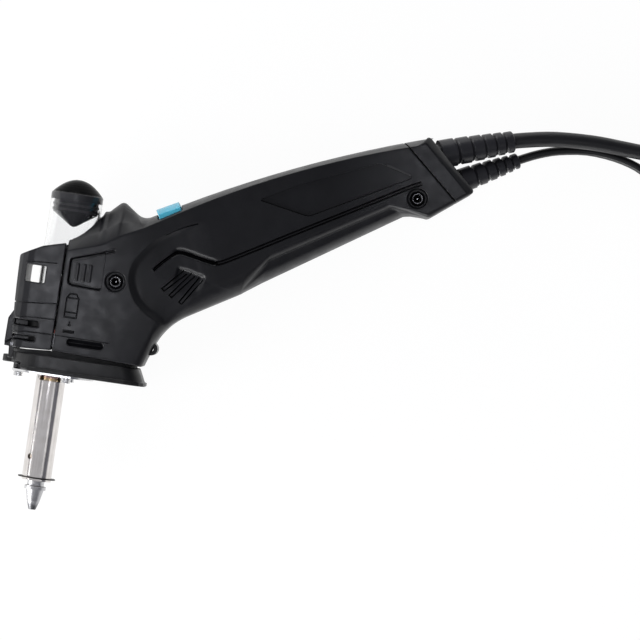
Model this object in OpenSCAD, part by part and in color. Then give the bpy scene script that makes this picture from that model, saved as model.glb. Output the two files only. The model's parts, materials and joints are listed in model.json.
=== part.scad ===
/* [Tip] */
// Bore of the suction tip
tip_bore_d = 1.4; // [0.8:0.1:2]
// Width of the tip's mouth
tip_mouth_d = 3.1; // [2.8:0.1:4]
// Width of the tip's cone at its top
tip_cone_d = 8.0; // [7.4:0.1:9]
// Width of the collar above the cone
tip_collar_d = 9.6; // [9.2:0.1:11]
// Length of the tip below the barrel
tip_len = 13.2; // [11:0.1:16]
// Width of the shank in the heater
tip_shank_d = 6.0; // [5:0.1:6.6]
// Length of the shank in the heater
tip_shank_len = 12; // [8:0.5:18]

/* [Barrel and heater] */
// Outer width of the barrel
barrel_d = 13.3; // [12.6:0.1:15]
// Length of the barrel below the heat shield
barrel_len = 44.9; // [38:0.1:55]
// Wall of the barrel
barrel_wall = 0.5; // [0.4:0.1:0.8]
// Width of the tinted collar at the barrel's root
collar_d = 9.8; // [9:0.1:11]
// Bare length of the collar between the barrel and the shield
collar_bare = 2.9; // [1:0.1:4]
// Width of the thin washer near the barrel's end
washer_d = 16.8; // [15.6:0.1:19]
// Width of the heater core
core_d = 11.6; // [10.6:0.1:12]
// Width of one heater cartridge
cartridge_d = 1.9; // [1.2:0.1:2.2]
// Width of the suction pipe
pipe_d = 3.2; // [2.4:0.1:3.8]

/* [Flange] */
// Height of the flange
flange_h = 7.7; // [6:0.1:10]
// How far the flange's lip stands out past its top, at the back
flange_flare = 3.0; // [1:0.1:4]
// Thickness of the heat-shield plate
plate_t = 0.9; // [0.6:0.1:1.5]
// Pitch circle of the three flange screws
screw_pcd = 30; // [28:0.5:31]
// Width of the flange screws' heads
flange_screw_head_d = 5.0; // [4.4:0.1:6]

/* [Housing] */
// Width of the handle, side to side
handle_w = 34; // [32:0.5:38]
// How far the head's side lies below the handle's side
head_step = 1.0; // [0.6:0.1:1.5]
// Angle of the handle to the head
handle_angle = 28; // [26:0.5:30]
// Length of the handle from its bend to the top of the end cap
handle_len = 128.6; // [124:0.2:136]
// Length of the end cap along the handle
cap_len = 10; // [7:0.5:13]
// Wall of the housing at its sides
side_wall = 4.0; // [3.4:0.1:5]
// Depth of the recessed panel
panel_depth = 0.7; // [0.4:0.1:1]
// Width of the long groove along the handle's side
groove_w = 1.3; // [0.8:0.1:2]
// Width of the two housing screws' heads
housing_screw_head_d = 5.6; // [5:0.1:6.4]

/* [Solder tube] */
// Outer width of the glass tube
glass_d = 23.4; // [22:0.1:24]
// Wall of the glass
glass_wall = 1.2; // [0.8:0.1:1.6]
// Length of the glass tube
glass_len = 58.2; // [54:0.2:64]
// Height of the cap's dome
dome_h = 6.9; // [5:0.1:9]
// Gap between the tube and the head
tube_gap = 0.5; // [0.3:0.05:0.8]

/* [Door and latches] */
// Gap between the door and the housing
seam_gap = 0.8; // [0.4:0.05:1]
// Width of the door's hinge pin
door_pin_d = 1.6; // [1.2:0.1:2]
// Width of the viewing window
window_w = 8.7; // [6:0.1:10]
// Height of the viewing window
window_h = 7.7; // [5:0.1:10]
// Thickness of a latch tongue
latch_t = 1.6; // [1.2:0.1:2]
// Width of the groove round a latch tongue
latch_groove = 1.2; // [0.8:0.1:1.6]

/* [Trigger] */
// Length of the button along the handle
button_len = 10.5; // [8:0.5:13]
// Width of the button
button_w = 28; // [20:0.5:29]
// Travel of the button
button_travel = 1.5; // [1:0.1:1.8]

/* [Cords] */
// Width of the vacuum hose
hose_d = 7; // [6.5:0.1:7.5]
// Width of the power and sensor lead
lead_d = 4; // [3.6:0.1:4.2]
// Length of the hose's strain relief
hose_relief_len = 34; // [26:0.5:36]
// Length of the lead's strain relief
lead_relief_len = 27.4; // [20:0.5:30]

/* [Hidden] */

eps = 0.01;
run_gap = 0.05;
seat_gap = 0.1;
clear = 0.3;
half = handle_w / 2;
head_half = half - head_step;

// Heights along the barrel, from the barrel's root outwards and up into the head
plate_y = 0.8 - plate_t;
flange_y = 0.8;
flange_top = flange_y + flange_h;
barrel_top = plate_y - collar_bare;
barrel_notch_w = barrel_d - 3.8;
barrel_end = barrel_top - barrel_len;
tip_end = barrel_end - tip_len;
head_y = flange_top + 1.0;
head_front_y = flange_top + 2.7;
seat_y = flange_top + 4.1;
seat_top = seat_y + 6.4;
seal_top = seat_top + 1.5;
glass_y = seal_top + seat_gap;
glass_top = glass_y + glass_len;
glass_r = glass_d / 2;
glass_in = glass_r - glass_wall;
trough_r = glass_r + tube_gap;
pipe_top = seal_top + 10.5;
seam_x = -0.4;
lying_y = flange_y + flange_h * 0.6;

// Handle frame: u runs along the handle from its bend, v across it
bend = [47, 57];
function handle_pt(u, v) =
    bend + [u * cos(handle_angle) - v * sin(handle_angle),
            u * sin(handle_angle) + v * cos(handle_angle)];
function handle_corner(u, v, r) = concat(handle_pt(u, v), [r]);

parting_u = handle_len - cap_len - 3;
rear_lean = 20.8;
screw_spots = [[23.3, 45.6], handle_pt(handle_len - 15.6, -9.5)];
button_u = 7;
button_v = 25.7;
button_lean = 0.6;
button_h = 4;
button_sunk = 5.2;
button_play = clear + button_lean * (button_travel + 1) / button_h;
hose_exit = [handle_len + 1, 6.14];
hose_tilt = -9.2;
hose_z = 2.5;
hose_dip = 13;
hose_relief_r = 6.4;
hose_root_r = 4.6;
lead_exit = [handle_len + 6.5, -8.0];
lead_z = -4;
lead_dip = 12;
lead_relief_r = 5.4;
lead_root_r = 3.6;
pivot = [-18.6, seat_y - 1.0];
latch_pivot_x = 17.4;
latch_pin_r = 0.8;
latch_arm = 4;
latch_pivot_z = head_half - 1.4;

// Outline with rounded corners: each corner is [x, y, radius], listed anticlockwise
arc_steps = 4;
function unit(v) = v / norm(v);
function corner_arc(a, p, b, r) =
    let (u = unit(a - p), w = unit(b - p),
         h = acos(max(-1, min(1, u * w))) / 2,
         d = r / tan(h),
         c = p + unit(u + w) * r / sin(h),
         s = p + u * d - c,
         side = sign(u[0] * w[1] - u[1] * w[0]),
         turn = -side * (180 - 2 * h))
    [for (k = [0:arc_steps])
        let (q = -turn * k / arc_steps)
        c + [s[0] * cos(q) + s[1] * sin(q), -s[0] * sin(q) + s[1] * cos(q)]];
function xy(c) = [c[0], c[1]];
function rounded(corners) =
    let (n = len(corners))
    [for (i = [0:n - 1])
        each corner_arc(xy(corners[(i + n - 1) % n]), xy(corners[i]),
                        xy(corners[(i + 1) % n]), corners[i][2])];

// Housing seen from the side: its silhouette on the mid plane
mid_corners = [
    [seam_x + seam_gap / 2, head_front_y, 0.3],
    [40.2, head_y, 1],
    [47.5, 29.4, 30],
    handle_corner(24.2, -22.8, 1),
    handle_corner(34.9, -21.4, 2),
    handle_corner(handle_len - 24, -14.7, 3),
    handle_corner(handle_len - 21, -15.6, 3),
    handle_corner(handle_len - 13.5, -19.4, 3),
    handle_corner(handle_len + 9.6, -15.3, 1.5),
    handle_corner(handle_len, 14.5, 1.5),
    handle_corner(67.4, 25.8, 590),
    handle_corner(-5.5, 23.2, 6),
    [21.2, 82.2, 2.5],
    [15.5, 76.6, 0.8],
    [13.6, 76.3, 0.8],
    [12.7, 74.1, 0.5],
    [seam_x + seam_gap / 2, 66.8, 0.5]
];

// The edge of the flat side, corner for corner
side_corners = [
    [seam_x + seam_gap / 2, head_front_y + 0.4, 0.3],
    [36.0, head_y + 0.8, 1],
    [46.0, 39.0, 26],
    handle_corner(30.5, -14.5, 3),
    handle_corner(45.0, -9.3, 8),
    handle_corner(handle_len - 29.5, -6.9, 5),
    handle_corner(handle_len - 22, -11.8, 3),
    handle_corner(handle_len - 13.8, -17.2, 3),
    handle_corner(handle_len + 8.4, -13.9, 1.5),
    handle_corner(handle_len - 3.2, 11.8, 1.5),
    handle_corner(65.1, 23.5, 441),
    handle_corner(-6.5, 19.2, 6),
    [21.7, 65.4, 3],
    [16.4, 62.0, 0.8],
    [14.9, 61.1, 0.8],
    [12.9, 60.2, 0.5],
    [seam_x + seam_gap / 2, 56.2, 0.5]
];

// How each corner's surface runs from the mid plane to the side:
// a crown, a round edge, or the hollow of the scoop, with the share of the width that it takes
CROWN = 0;
EDGE = 1;
SCOOP = 2;
run_laws = [
    [EDGE, 0.08], [EDGE, 0.3], [EDGE, 0.5], [EDGE, 0.6], [SCOOP, 0.5],
    [SCOOP, 0.5], [SCOOP, 0.4], [EDGE, 0.2], [EDGE, 0.12], [EDGE, 0.2],
    [CROWN, 1], [CROWN, 1], [CROWN, 1], [CROWN, 1], [CROWN, 1], [CROWN, 1], [CROWN, 1]
];
function run_share(law, t) =
    let (s = max(0, (t - 1 + law[1]) / law[1]))
    law[0] == CROWN ? t * t : law[0] == EDGE ? 1 - sqrt(1 - s * s) : 1 - pow(1 - s, 3);

ring_steps = [0, 0.3, 0.5, 0.55, 0.61, 0.68, 0.76, 0.84, 0.91, 0.96, 1];
full_steps = concat([for (k = [len(ring_steps) - 1:-1:1]) -ring_steps[k]], ring_steps);
mid_line = rounded(mid_corners);
side_line = rounded(side_corners);

// One ring of the housing's skin at a share t of the half width
function skin_ring(t) =
    [for (i = [0:len(mid_line) - 1])
        let (p = mid_line[i] + (side_line[i] - mid_line[i])
                 * run_share(run_laws[floor(i / (arc_steps + 1))], abs(t)))
        [p[0], p[1], t * half]];

function at_height(ring, z) = [for (p = ring) lift(p, z)];

// Skin between rings of equal count, closed at both ends
module rings_solid(rings) {
    n = len(rings[0]);
    m = len(rings);
    polyhedron(
        points = [for (r = rings) each r],
        faces = concat(
            [[for (i = [0:n - 1]) i]],
            [for (k = [0:m - 2]) for (i = [0:n - 1]) each [
                [k * n + i, (k + 1) * n + i, k * n + (i + 1) % n],
                [k * n + (i + 1) % n, (k + 1) * n + i, (k + 1) * n + (i + 1) % n]]],
            [[for (i = [n - 1:-1:0]) (m - 1) * n + i]]),
        convexity = 8);
}

// Tube along points: rings of n sides, each square to the way the points run
function path_dir(p, i) = unit(p[min(i + 1, len(p) - 1)] - p[max(i - 1, 0)]);
function path_ring(p, i, r, n) =
    let (d = path_dir(p, i), s = unit(cross(d, [0, 0, 1])), w = cross(s, d))
    [for (k = [0:n - 1]) p[i] + (s * cos((k + 0.5) * 360 / n) + w * sin((k + 0.5) * 360 / n)) * r / cos(180 / n)];
module tube_along(p, r, n) {
    rings_solid([for (i = [len(p) - 1:-1:0]) path_ring(p, i, r, n)]);
}
// Points of a smooth curve through a few chosen ones
function curve_pt(a, b, c, d, t) =
    0.5 * ((2 * b) + (c - a) * t + (2 * a - 5 * b + 4 * c - d) * t * t + (3 * b - a - 3 * c + d) * t * t * t);
function smooth_path(p, steps) =
    concat([for (i = [0:len(p) - 2]) for (k = [0:steps - 1])
        curve_pt(p[max(i - 1, 0)], p[i], p[i + 1], p[min(i + 2, len(p) - 1)], k / steps)],
        [p[len(p) - 1]]);
function lift(p, z) = [p[0], p[1], z];

// Everything is drawn on the barrel's axis and then laid on the handle's and flange's flat sides
module lay() {
    translate([0, -lying_y, half]) children();
}
module along_barrel() {
    rotate([-90, 0, 0]) children();
}
module turned(points) {
    along_barrel() rotate_extrude($fn = 96) polygon(points);
}
module at_handle(u, v, z = 0) {
    translate([handle_pt(u, v)[0], handle_pt(u, v)[1], z]) rotate([0, 0, handle_angle]) children();
}
module handle_box(u, v, z, size) {
    at_handle(u, v, z) cube(size);
}
module side_prism(points, z0, z1) {
    translate([0, 0, z0]) linear_extrude(z1 - z0) polygon(points);
}

// Everything behind the slanted parting line of the end cap
module behind_parting(shift) {
    at_handle(parting_u + shift, 18, -half - 5)
        rotate([0, 0, rear_lean]) translate([0, -60, 0]) cube([80, 90, handle_w + 10]);
}

// Front edge of the grip: round a corner, then straight up along the handle and down to its foot
grip_centre = [41.9, 49.4];
grip_r = 12.6;
grip_from = 39.6;
grip_to = -36.7;
function grip_pt(q, away, r) =
    grip_centre + r * [cos(q), sin(q)] + away * [cos(q - 90), sin(q - 90)];
grip_arc = [for (k = [0:5]) grip_from + 90 + k * (180 + grip_to - grip_from) / 5];
grip_outline = concat(
    [grip_pt(grip_from + 90, 40, grip_r)],
    [for (q = grip_arc) grip_pt(q, 0, grip_r)],
    [grip_pt(grip_to - 90, -24, grip_r), [250, 26], [250, 240]]);
// Beside that edge the grip dips into a valley, which runs out along the handle
valley_depth = 2.0;
valley_w = 7;
function valley_ring(q, away, share) = [
    lift(grip_pt(q, away, grip_r), half - valley_depth * share),
    lift(grip_pt(q, away, grip_r - valley_w), half + 0.05),
    lift(grip_pt(q, away, grip_r), half + 0.4)
];
valley_rings = concat(
    [for (k = [3:-1:1]) valley_ring(grip_from + 90, 9 * k, 1 - k / 3)],
    [for (q = grip_arc) valley_ring(q, 0, 1)],
    [for (k = [1, 2]) valley_ring(grip_to - 90, -9 * k, 1)]);

cavity_outline = rounded([
    [16, head_front_y + 2, 1.5],
    [35, head_y + 3.6, 1.5],
    [41, 34, 20],
    handle_corner(24, -13, 3),
    handle_corner(40, -5, 3),
    handle_corner(handle_len - 24, -4, 1),
    handle_corner(handle_len - 0.3, -12, 1),
    handle_corner(handle_len - 5.4, 11.1, 1),
    handle_corner(60, 16.5, 60),
    handle_corner(-2, 16.5, 4),
    [16, 56, 2]
]);
panel_outline = rounded([
    handle_corner(46.3, 13.9, 0.6), handle_corner(64.6, -0.6, 5),
    handle_corner(handle_len - 13.9, -0.1, 0.8), handle_corner(handle_len - 26, 11.0, 4),
    handle_corner(65.7, 14.1, 3)
]);
groove_line = [
    handle_pt(-9, 0.4), handle_pt(3.2, 5.6), handle_pt(19.5, -6.6), handle_pt(handle_len - 10.7, -4.3)
];

// The groove runs down, up and then straight along the handle
module groove_shape() {
    for (k = [0:len(groove_line) - 2])
        let (a = groove_line[k], b = groove_line[k + 1], d = b - a) {
            translate(a) circle(d = groove_w, $fn = 24);
            translate(b) circle(d = groove_w, $fn = 24);
            translate(a) rotate([0, 0, atan2(d[1], d[0])])
                translate([0, -groove_w / 2]) square([norm(d), groove_w]);
        }
}

// Four finger grooves, fanned a little
module finger_grooves() {
    for (k = [0:3])
        translate(handle_pt(-1.8 + 2.9 * k, -7 - 2 * k)) rotate([0, 0, handle_angle + 21 + 2 * k]) {
            translate([-6, -0.55]) square([12, 1.1]);
            for (s = [-6, 6]) translate([s, 0]) circle(d = 1.1, $fn = 16);
        }
}

// The tongue of a latch, seen from the side, wider by g all round but for its root
function latch_outline(g) = rounded([
    [3.3 - g, 42.4 - g, 2.5], [latch_pivot_x + sign(g) * clear, 41.8 - g, 0.3],
    [latch_pivot_x + sign(g) * clear, 57.0 + g, 0.3], [3.3 - g, 51.9 + g, 1.5]
]);

// The head's side lies lower than the handle's and rises gently towards it
module head_side() {
    difference() {
        translate([0, 95, 0]) rotate([90, 0, 0]) linear_extrude(95) polygon([
            [-5, head_half], [30, head_half], [60, half + 0.1], [60, half + 3], [-5, half + 3]]);
        side_prism(grip_outline, 0, half + 4);
    }
}

// Skin of the housing with its room inside, on the viewer's side
module hollow_half() {
    difference() {
        rings_solid(concat([at_height(skin_ring(0), -2)], [for (t = ring_steps) skin_ring(t)],
                           [at_height(skin_ring(1), half + 2)]));
        // Flat at the mid plane and at the side
        for (z = [-6, half]) translate([-60, -20, z]) cube([300, 200, 6]);
        behind_parting(-seat_gap);
        head_side();
        rings_solid(valley_rings);
        // Room for the solder tube and its seat
        translate([0, seat_y, 0]) along_barrel() cylinder(r = trough_r, h = 90, $fn = 96);
        along_barrel() cylinder(d = collar_d + 2 * clear, h = 30, $fn = 64);
        cavity();
    }
}

module housing_half() {
    difference() {
        difference() {
            hollow_half();
            screw_holes();
            latch_pocket();
            // Button well and the way of its post
            at_handle(button_u - button_len / 2 - button_play, button_v - button_sunk - button_travel - clear, -1)
                cube([button_len + button_play + clear, 14, button_w / 2 + clear + 1]);
            post_shape(0.15, 10, 14);
            nipple_path(clear);
            wire_path();
            // Half-round seat of the lug
            lug_shape(0);
        }
        side_marks();
    }
}

module cavity() {
    difference() {
        side_prism(cavity_outline, -1, half - side_wall);
        for (s = screw_spots) translate([s[0], s[1], -1]) cylinder(r = 4, h = half, $fn = 48);
        // Floor of the latch's pocket
        translate([10, 39, head_half - 4.6]) cube([13, 21, 6]);
    }
}

module screw_holes() {
    for (s = screw_spots) {
        translate([s[0], s[1], -1]) cylinder(r = 1.6, h = half + 2, $fn = 32);
        translate([s[0], s[1], half - 4.2])
            cylinder(r = housing_screw_head_d / 2 + 0.3, h = 6, $fn = 48);
        translate([s[0], s[1], half - 3.4]) cylinder(r = 4.6, h = 6, $fn = 48);
    }
}

module latch_pocket() {
    side_prism(latch_outline(latch_groove), head_half - 3.6, half + 1);
    translate([latch_pivot_x, 41.8 - clear, latch_pivot_z]) along_barrel()
        cylinder(r = latch_pin_r + run_gap, h = 16, $fn = 32);
    // The upper groove runs on past the root
    side_prism([
        [latch_pivot_x - 1, 56.9], [latch_pivot_x + latch_arm, 58.6],
        [latch_pivot_x + latch_arm, 58.6 + latch_groove], [latch_pivot_x - 1, 56.9 + latch_groove]],
        head_half - 1.6, half + 1);
}

// Grooves and recesses of the side
module side_marks() {
    side_prism(panel_outline, half - panel_depth, half + 1);
    translate([0, 0, half - 0.8]) linear_extrude(3) groove_shape();
    translate([0, 0, half - 1.0]) linear_extrude(3) finger_grooves();
    // Slot low on the head and the line above it
    translate([0, 0, head_half - 3.3]) linear_extrude(5) {
        translate([7.4, 14.4]) square([13.2, 3.2]);
        for (x = [7.4, 20.6]) translate([x, 16]) circle(d = 3.2, $fn = 24);
    }
    translate([-1, 17.9, head_half - 0.3]) cube([26, 0.4, 2]);
    // Pictogram: a tube, an arrow and a bar
    translate([0, 0, head_half - 0.4]) linear_extrude(2) {
        difference() {
            translate([2.7, 26.8]) square([5.4, 11]);
            translate([3.4, 27.5]) square([4, 1.9]);
            translate([3.4, 30.1]) square([4, 5.6]);
            translate([3.4, 36.3]) square([4, 0.9]);
        }
        polygon([[4.4, 24.3], [6.4, 24.3], [5.4, 26]]);
        translate([5.1, 23.3]) square([0.6, 1.1]);
        translate([2.8, 19.8]) square([5.6, 1.8]);
    }
}

module nipple_path(gap) {
    translate([trough_r - 2, seat_y + 3.2, 0]) rotate([0, 90, 0])
        cylinder(r = 1.6 + gap, h = 8, $fn = 32);
}

// Ways of the heater's wires out from under the seat
module wire_path() {
    translate([trough_r - 2, seat_y + 1.6, 3]) rotate([0, 90, 0]) cylinder(r = 1.0, h = 8, $fn = 24);
}

// Square post of the button
post_w = 3;
module post_shape(gap, v, h) {
    at_handle(button_u - post_w / 2 - gap, v, -post_w / 2 - gap) cube([post_w + 2 * gap, h, post_w + 2 * gap]);
}

module lug_shape(gap) {
    translate([42.9, 18.2, -8 - gap]) cylinder(r = 3 + gap, h = 16 + 2 * gap, $fn = 40);
}

module housing_left() {
    color([0.14, 0.14, 0.16]) lay() housing_half();
}

module housing_right() {
    color([0.14, 0.14, 0.16]) lay() {
        mirror([0, 0, 1]) housing_half();
        // Ribs that carry the circuit board
        for (u = [board_u + 8, board_end - 8]) handle_box(u, -1, -half + side_wall - 0.5, [2, 12, half - side_wall + 0.5 + board_z]);
    }
}

module end_cap() {
    color([0.14, 0.14, 0.16]) lay() difference() {
        intersection() {
            rings_solid([for (t = full_steps) skin_ring(t)]);
            behind_parting(0);
        }
        relief_seats();
    }
}

module hose_axis() {
    at_handle(hose_exit[0], hose_exit[1], hose_z) rotate([0, 0, hose_tilt])
        rotate([0, 90 + hose_dip, 0]) children();
}
module lead_axis() {
    at_handle(lead_exit[0], lead_exit[1], lead_z) rotate([0, 90 + lead_dip, 0]) children();
}
module relief_seats() {
    hose_axis() {
        translate([0, 0, -14]) cylinder(r = hose_root_r + run_gap, h = 30, $fn = 64);
        cylinder(r = hose_relief_r + seat_gap, h = 16, $fn = 64);
    }
    lead_axis() {
        translate([0, 0, -16]) cylinder(r = lead_root_r + run_gap, h = 30, $fn = 64);
        cylinder(r = lead_relief_r + seat_gap, h = 14, $fn = 64);
    }
}

// Strain relief: a root in the cap, then rings that shrink and get shorter towards the cord
ring_gap = 1.1;
function ring_start(k, rings, length) = length / rings * (1.3 * k - 0.3 * k * (k - 1) / (rings - 1));
module ribbed_relief(root_r, base_r, end_r, length, rings, bore) {
    g = ring_gap / 2;
    rotate_extrude($fn = 64) polygon(concat(
        [[bore, -8], [root_r, -8], [root_r, 0]],
        [for (k = [0:rings - 1])
            let (r = base_r + (end_r - base_r) * k / (rings - 1),
                 z = ring_start(k, rings, length), e = ring_start(k + 1, rings, length)) each [
            [r, z + (k == 0 ? 0 : g)], [r, e - g], [r - 1.2, e - g], [r - 1.2, e + (k == rings - 1 ? -g : g)]]],
        [[bore, length - g]]));
}

module housing_screws() {
    color([0.2, 0.2, 0.21]) lay() for (s = screw_spots) translate([s[0], s[1], half - 4.2]) difference() {
        union() {
            cylinder(d = housing_screw_head_d, h = 2.2, $fn = 48);
            translate([0, 0, -14]) cylinder(r = 1.5, h = 14 + eps, $fn = 32);
        }
        for (q = [0:60:120]) rotate([0, 0, q]) translate([-1.45, -0.4, 1]) cube([2.9, 0.8, 2]);
    }
}

module rest_lug() {
    color([0.17, 0.17, 0.19]) lay() difference() {
        lug_shape(0);
        translate([42.9, 18.2, -20]) cylinder(r = 1.2, h = 40, $fn = 24);
        translate([42.9, 18.2, 6.5]) cylinder(r = 2.1, h = 4, $fn = 6);
    }
}

flange_plan = rounded([
    [-18.4, -half, 13], [42.7, -half, 9], [42.7, half, 9], [-18.4, half, 13]
]);
flange_side = [
    [-13.5, flange_y], [42.7, flange_y], [42.7, flange_y + 1.4], [42.7 - flange_flare, flange_top],
    [-18.4, flange_top], [-18.4, flange_y + 3.4], [-13.5, flange_y + 3.4]
];

module flange() {
    color([0.11, 0.11, 0.12]) lay() difference() {
        union() {
            intersection() {
                along_barrel() mirror([0, 1, 0]) linear_extrude(30) polygon(flange_plan);
                side_prism(flange_side, -half, half);
            }
            // Front tab and the boss of the front screw
            translate([0, flange_y + 2.6, 0]) along_barrel() linear_extrude(3.2)
                polygon(rounded([[-22.5, -6, 2.5], [-14, -7, 0.5], [-14, 7, 0.5], [-22.5, 6, 2.5]]));
            translate([-screw_pcd / 2, flange_y, 0]) along_barrel() cylinder(r = 2.6, h = 4, $fn = 32);
            for (s = [-1, 1]) ear(s);
        }
        along_barrel() cylinder(d = collar_d + 2 * run_gap, h = 60, center = true, $fn = 64);
        flange_screw_spots() cylinder(r = 1.2, h = 6, $fn = 24);
        for (s = [-1, 1]) translate([0, 0, s * 10 - 20])
            translate([pivot[0], pivot[1], 0]) cylinder(d = door_pin_d, h = 40, $fn = 32);
    }
}

ear_z = 4;
ear_w = 3.5;
ear_r = 1.8;
module ear(s) {
    translate([0, 0, s > 0 ? ear_z : -ear_z - ear_w]) linear_extrude(ear_w) {
        translate(pivot) circle(r = ear_r, $fn = 40);
        polygon([[pivot[0] - 1.3, flange_top - 3], [pivot[0] + 3.2, flange_top - 3],
                 [pivot[0] + ear_r, pivot[1]], [pivot[0] - ear_r, pivot[1]]]);
    }
}

module flange_screw_spots() {
    for (k = [0:2]) rotate([0, 180 + 120 * k, 0])
        translate([screw_pcd / 2, plate_y, 0]) along_barrel() children();
}

// The spacer's cheeks run forward beside the hinge's ears
cheek_z = half - 4;
ear_room = ear_z + ear_w + 1;
cheek_w = cheek_z - ear_room;
module insulating_spacer() {
    color([0.08, 0.08, 0.08]) lay() difference() {
        intersection() {
            along_barrel() linear_extrude(30) polygon(rounded([
                [-17.6, -cheek_z, cheek_w / 1.5], [37.5, -cheek_z, 6], [37.5, cheek_z, 6],
                [-17.6, cheek_z, cheek_w / 1.5],
                [-17.6, ear_room, cheek_w / 4.5], [-13, ear_room, cheek_w / 4.5],
                [-13, -ear_room, cheek_w / 4.5], [-17.6, -ear_room, cheek_w / 4.5]]));
            side_prism([[-18, flange_top], [40, flange_top], [40, head_y - 0.05], [38, head_y + 0.02],
                        [0, head_front_y - 0.06], [seam_x, head_front_y - 0.5], [-14, flange_top + 1.2],
                        [-18, flange_top + 1.2]],
                       -half, half);
        }
        along_barrel() cylinder(d = collar_d + 2 * run_gap, h = 60, center = true, $fn = 64);
    }
}

module heat_shield_plate() {
    color([0.75, 0.75, 0.76]) lay() difference() {
        intersection() {
            translate([0.5, plate_y, 0]) along_barrel() cylinder(r = 18.5, h = plate_t, $fn = 96);
            translate([-30, -20, -half + 1]) cube([60, 40, handle_w - 2]);
        }
        along_barrel() cylinder(d = collar_d + 2 * run_gap, h = 60, center = true, $fn = 64);
        translate([0, -2, 0]) flange_screw_spots() cylinder(r = 1.3, h = 8, $fn = 24);
    }
}

module flange_screws() {
    color([0.7, 0.7, 0.72]) lay() flange_screw_spots() {
        translate([0, 0, 0]) cylinder(r = 1.2, h = 5.5, $fn = 24);
        translate([0, 0, -0.5]) cylinder(d = flange_screw_head_d, h = 0.5, $fn = 32);
        difference() {
            translate([0, 0, -2.3]) cylinder(d = flange_screw_head_d - 0.9, h = 1.8 + eps, $fn = 32);
            translate([0, 0, -2.4]) cylinder(r = 1.1, h = 1.3, $fn = 6);
        }
    }
}

module barrel_tube() {
    color([0.6, 0.57, 0.54]) lay() difference() {
        turned([
            [barrel_d / 2 - barrel_wall, barrel_end], [barrel_d / 2, barrel_end],
            [barrel_d / 2, plate_y - seat_gap], [barrel_d / 2 - barrel_wall, plate_y - seat_gap],
            [barrel_d / 2 - barrel_wall, barrel_top],
            [collar_d / 2 + run_gap, barrel_top], [collar_d / 2 + run_gap, barrel_top - 1],
            [barrel_d / 2 - barrel_wall, barrel_top - 1]]);
        // Notches of the skirt, in which the collar shows
        translate([-barrel_notch_w / 2, barrel_top + 0.2, -20]) cube([barrel_notch_w, 10, 40]);
        translate([0, barrel_end + 10.6, 0]) rotate([0, -37.7, 0]) cylinder(r = 1.25, h = 12, $fn = 32);
    }
}

module barrel_collar() {
    color([0.55, 0.42, 0.28]) lay() turned([
        [pipe_d / 2 + 1.5, barrel_top - 2], [collar_d / 2, barrel_top - 2],
        [collar_d / 2, flange_top], [pipe_d / 2 + 1.5, flange_top]]);
}

module end_washer() {
    color([0.2, 0.19, 0.18]) lay() turned([
        [barrel_d / 2 + run_gap, barrel_end + 1.0], [washer_d / 2, barrel_end + 1.0],
        [washer_d / 2, barrel_end + 1.5], [barrel_d / 2 + run_gap, barrel_end + 1.5]]);
}

module desoldering_tip() {
    cone_y = tip_end + 0.3 * tip_len;
    collar_y = tip_end + 0.69 * tip_len;
    color([0.72, 0.72, 0.73]) lay() turned([
        [tip_bore_d / 2, tip_end], [tip_mouth_d / 2, tip_end], [2.9, cone_y],
        [tip_cone_d / 2, collar_y], [tip_collar_d / 2, collar_y], [tip_collar_d / 2, collar_y + 1.5],
        [tip_cone_d / 2 - 0.2, collar_y + 1.8], [tip_cone_d / 2 - 0.2, barrel_end + 1],
        [tip_shank_d / 2, barrel_end + 1], [tip_shank_d / 2, barrel_end + 1 + tip_shank_len],
        [1.2, barrel_end + 1 + tip_shank_len], [1.2, tip_end + 5], [tip_bore_d / 2, tip_end + 4]]);
}

core_y = barrel_end + 1.3;
core_top = barrel_top - 6;
module heater_core() {
    color([0.7, 0.5, 0.32]) lay() difference() {
        turned([
            [tip_shank_d / 2 + run_gap, core_y], [core_d / 2, core_y], [core_d / 2, core_top],
            [pipe_d / 2 + run_gap, core_top],
            [pipe_d / 2 + run_gap, core_y + tip_shank_len], [tip_shank_d / 2 + run_gap, core_y + tip_shank_len]]);
        core_holes(run_gap);
    }
}
module core_holes(gap) {
    for (k = [0:2]) rotate([0, 60 + 120 * k, 0])
        translate([core_d / 4 + pipe_d / 4 + 0.1, core_y + tip_shank_len + 1, 0])
            along_barrel() cylinder(d = cartridge_d + 2 * gap, h = 60, $fn = 24);
}
module core_rods(which, h) {
    for (k = which) rotate([0, 60 + 120 * k, 0])
        translate([core_d / 4 + pipe_d / 4 + 0.1, core_y + tip_shank_len + 1, 0])
            along_barrel() cylinder(d = cartridge_d, h = h, $fn = 24);
}
core_rod_len = core_top - core_y - tip_shank_len - 1.2;
module heater_cartridges() {
    color([0.85, 0.82, 0.75]) lay() core_rods([0, 2], core_rod_len);
}
module temperature_sensor() {
    color([0.9, 0.9, 0.85]) lay() core_rods([1], core_rod_len - 4);
}

module suction_pipe() {
    color([0.68, 0.68, 0.7]) lay() turned([
        [pipe_d / 2 - 0.5, core_y + tip_shank_len + 0.1], [pipe_d / 2, core_y + tip_shank_len + 0.1],
        [pipe_d / 2, pipe_top], [pipe_d / 2 - 0.5, pipe_top]]);
}

module seal_seat() {
    color([0.66, 0.66, 0.68]) lay() difference() {
        turned([
            [pipe_d / 2 + run_gap, seat_y + 0.1], [glass_r - 0.2, seat_y + 0.1],
            [glass_r - 0.2, seat_top], [pipe_d / 2 + run_gap, seat_top]]);
        translate([3, seat_y + 3.2, 0]) rotate([0, 90, 0]) cylinder(r = 1.6, h = 20, $fn = 32);
        translate([5.2, seat_y + 3.2, 0]) along_barrel() cylinder(r = 1.2, h = 10, $fn = 24);
        for (s = [-1, 1]) translate([-1, seat_y - 1, 3 * s - 1.2]) cube([20, 3.6, 2.4]);
    }
}

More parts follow.
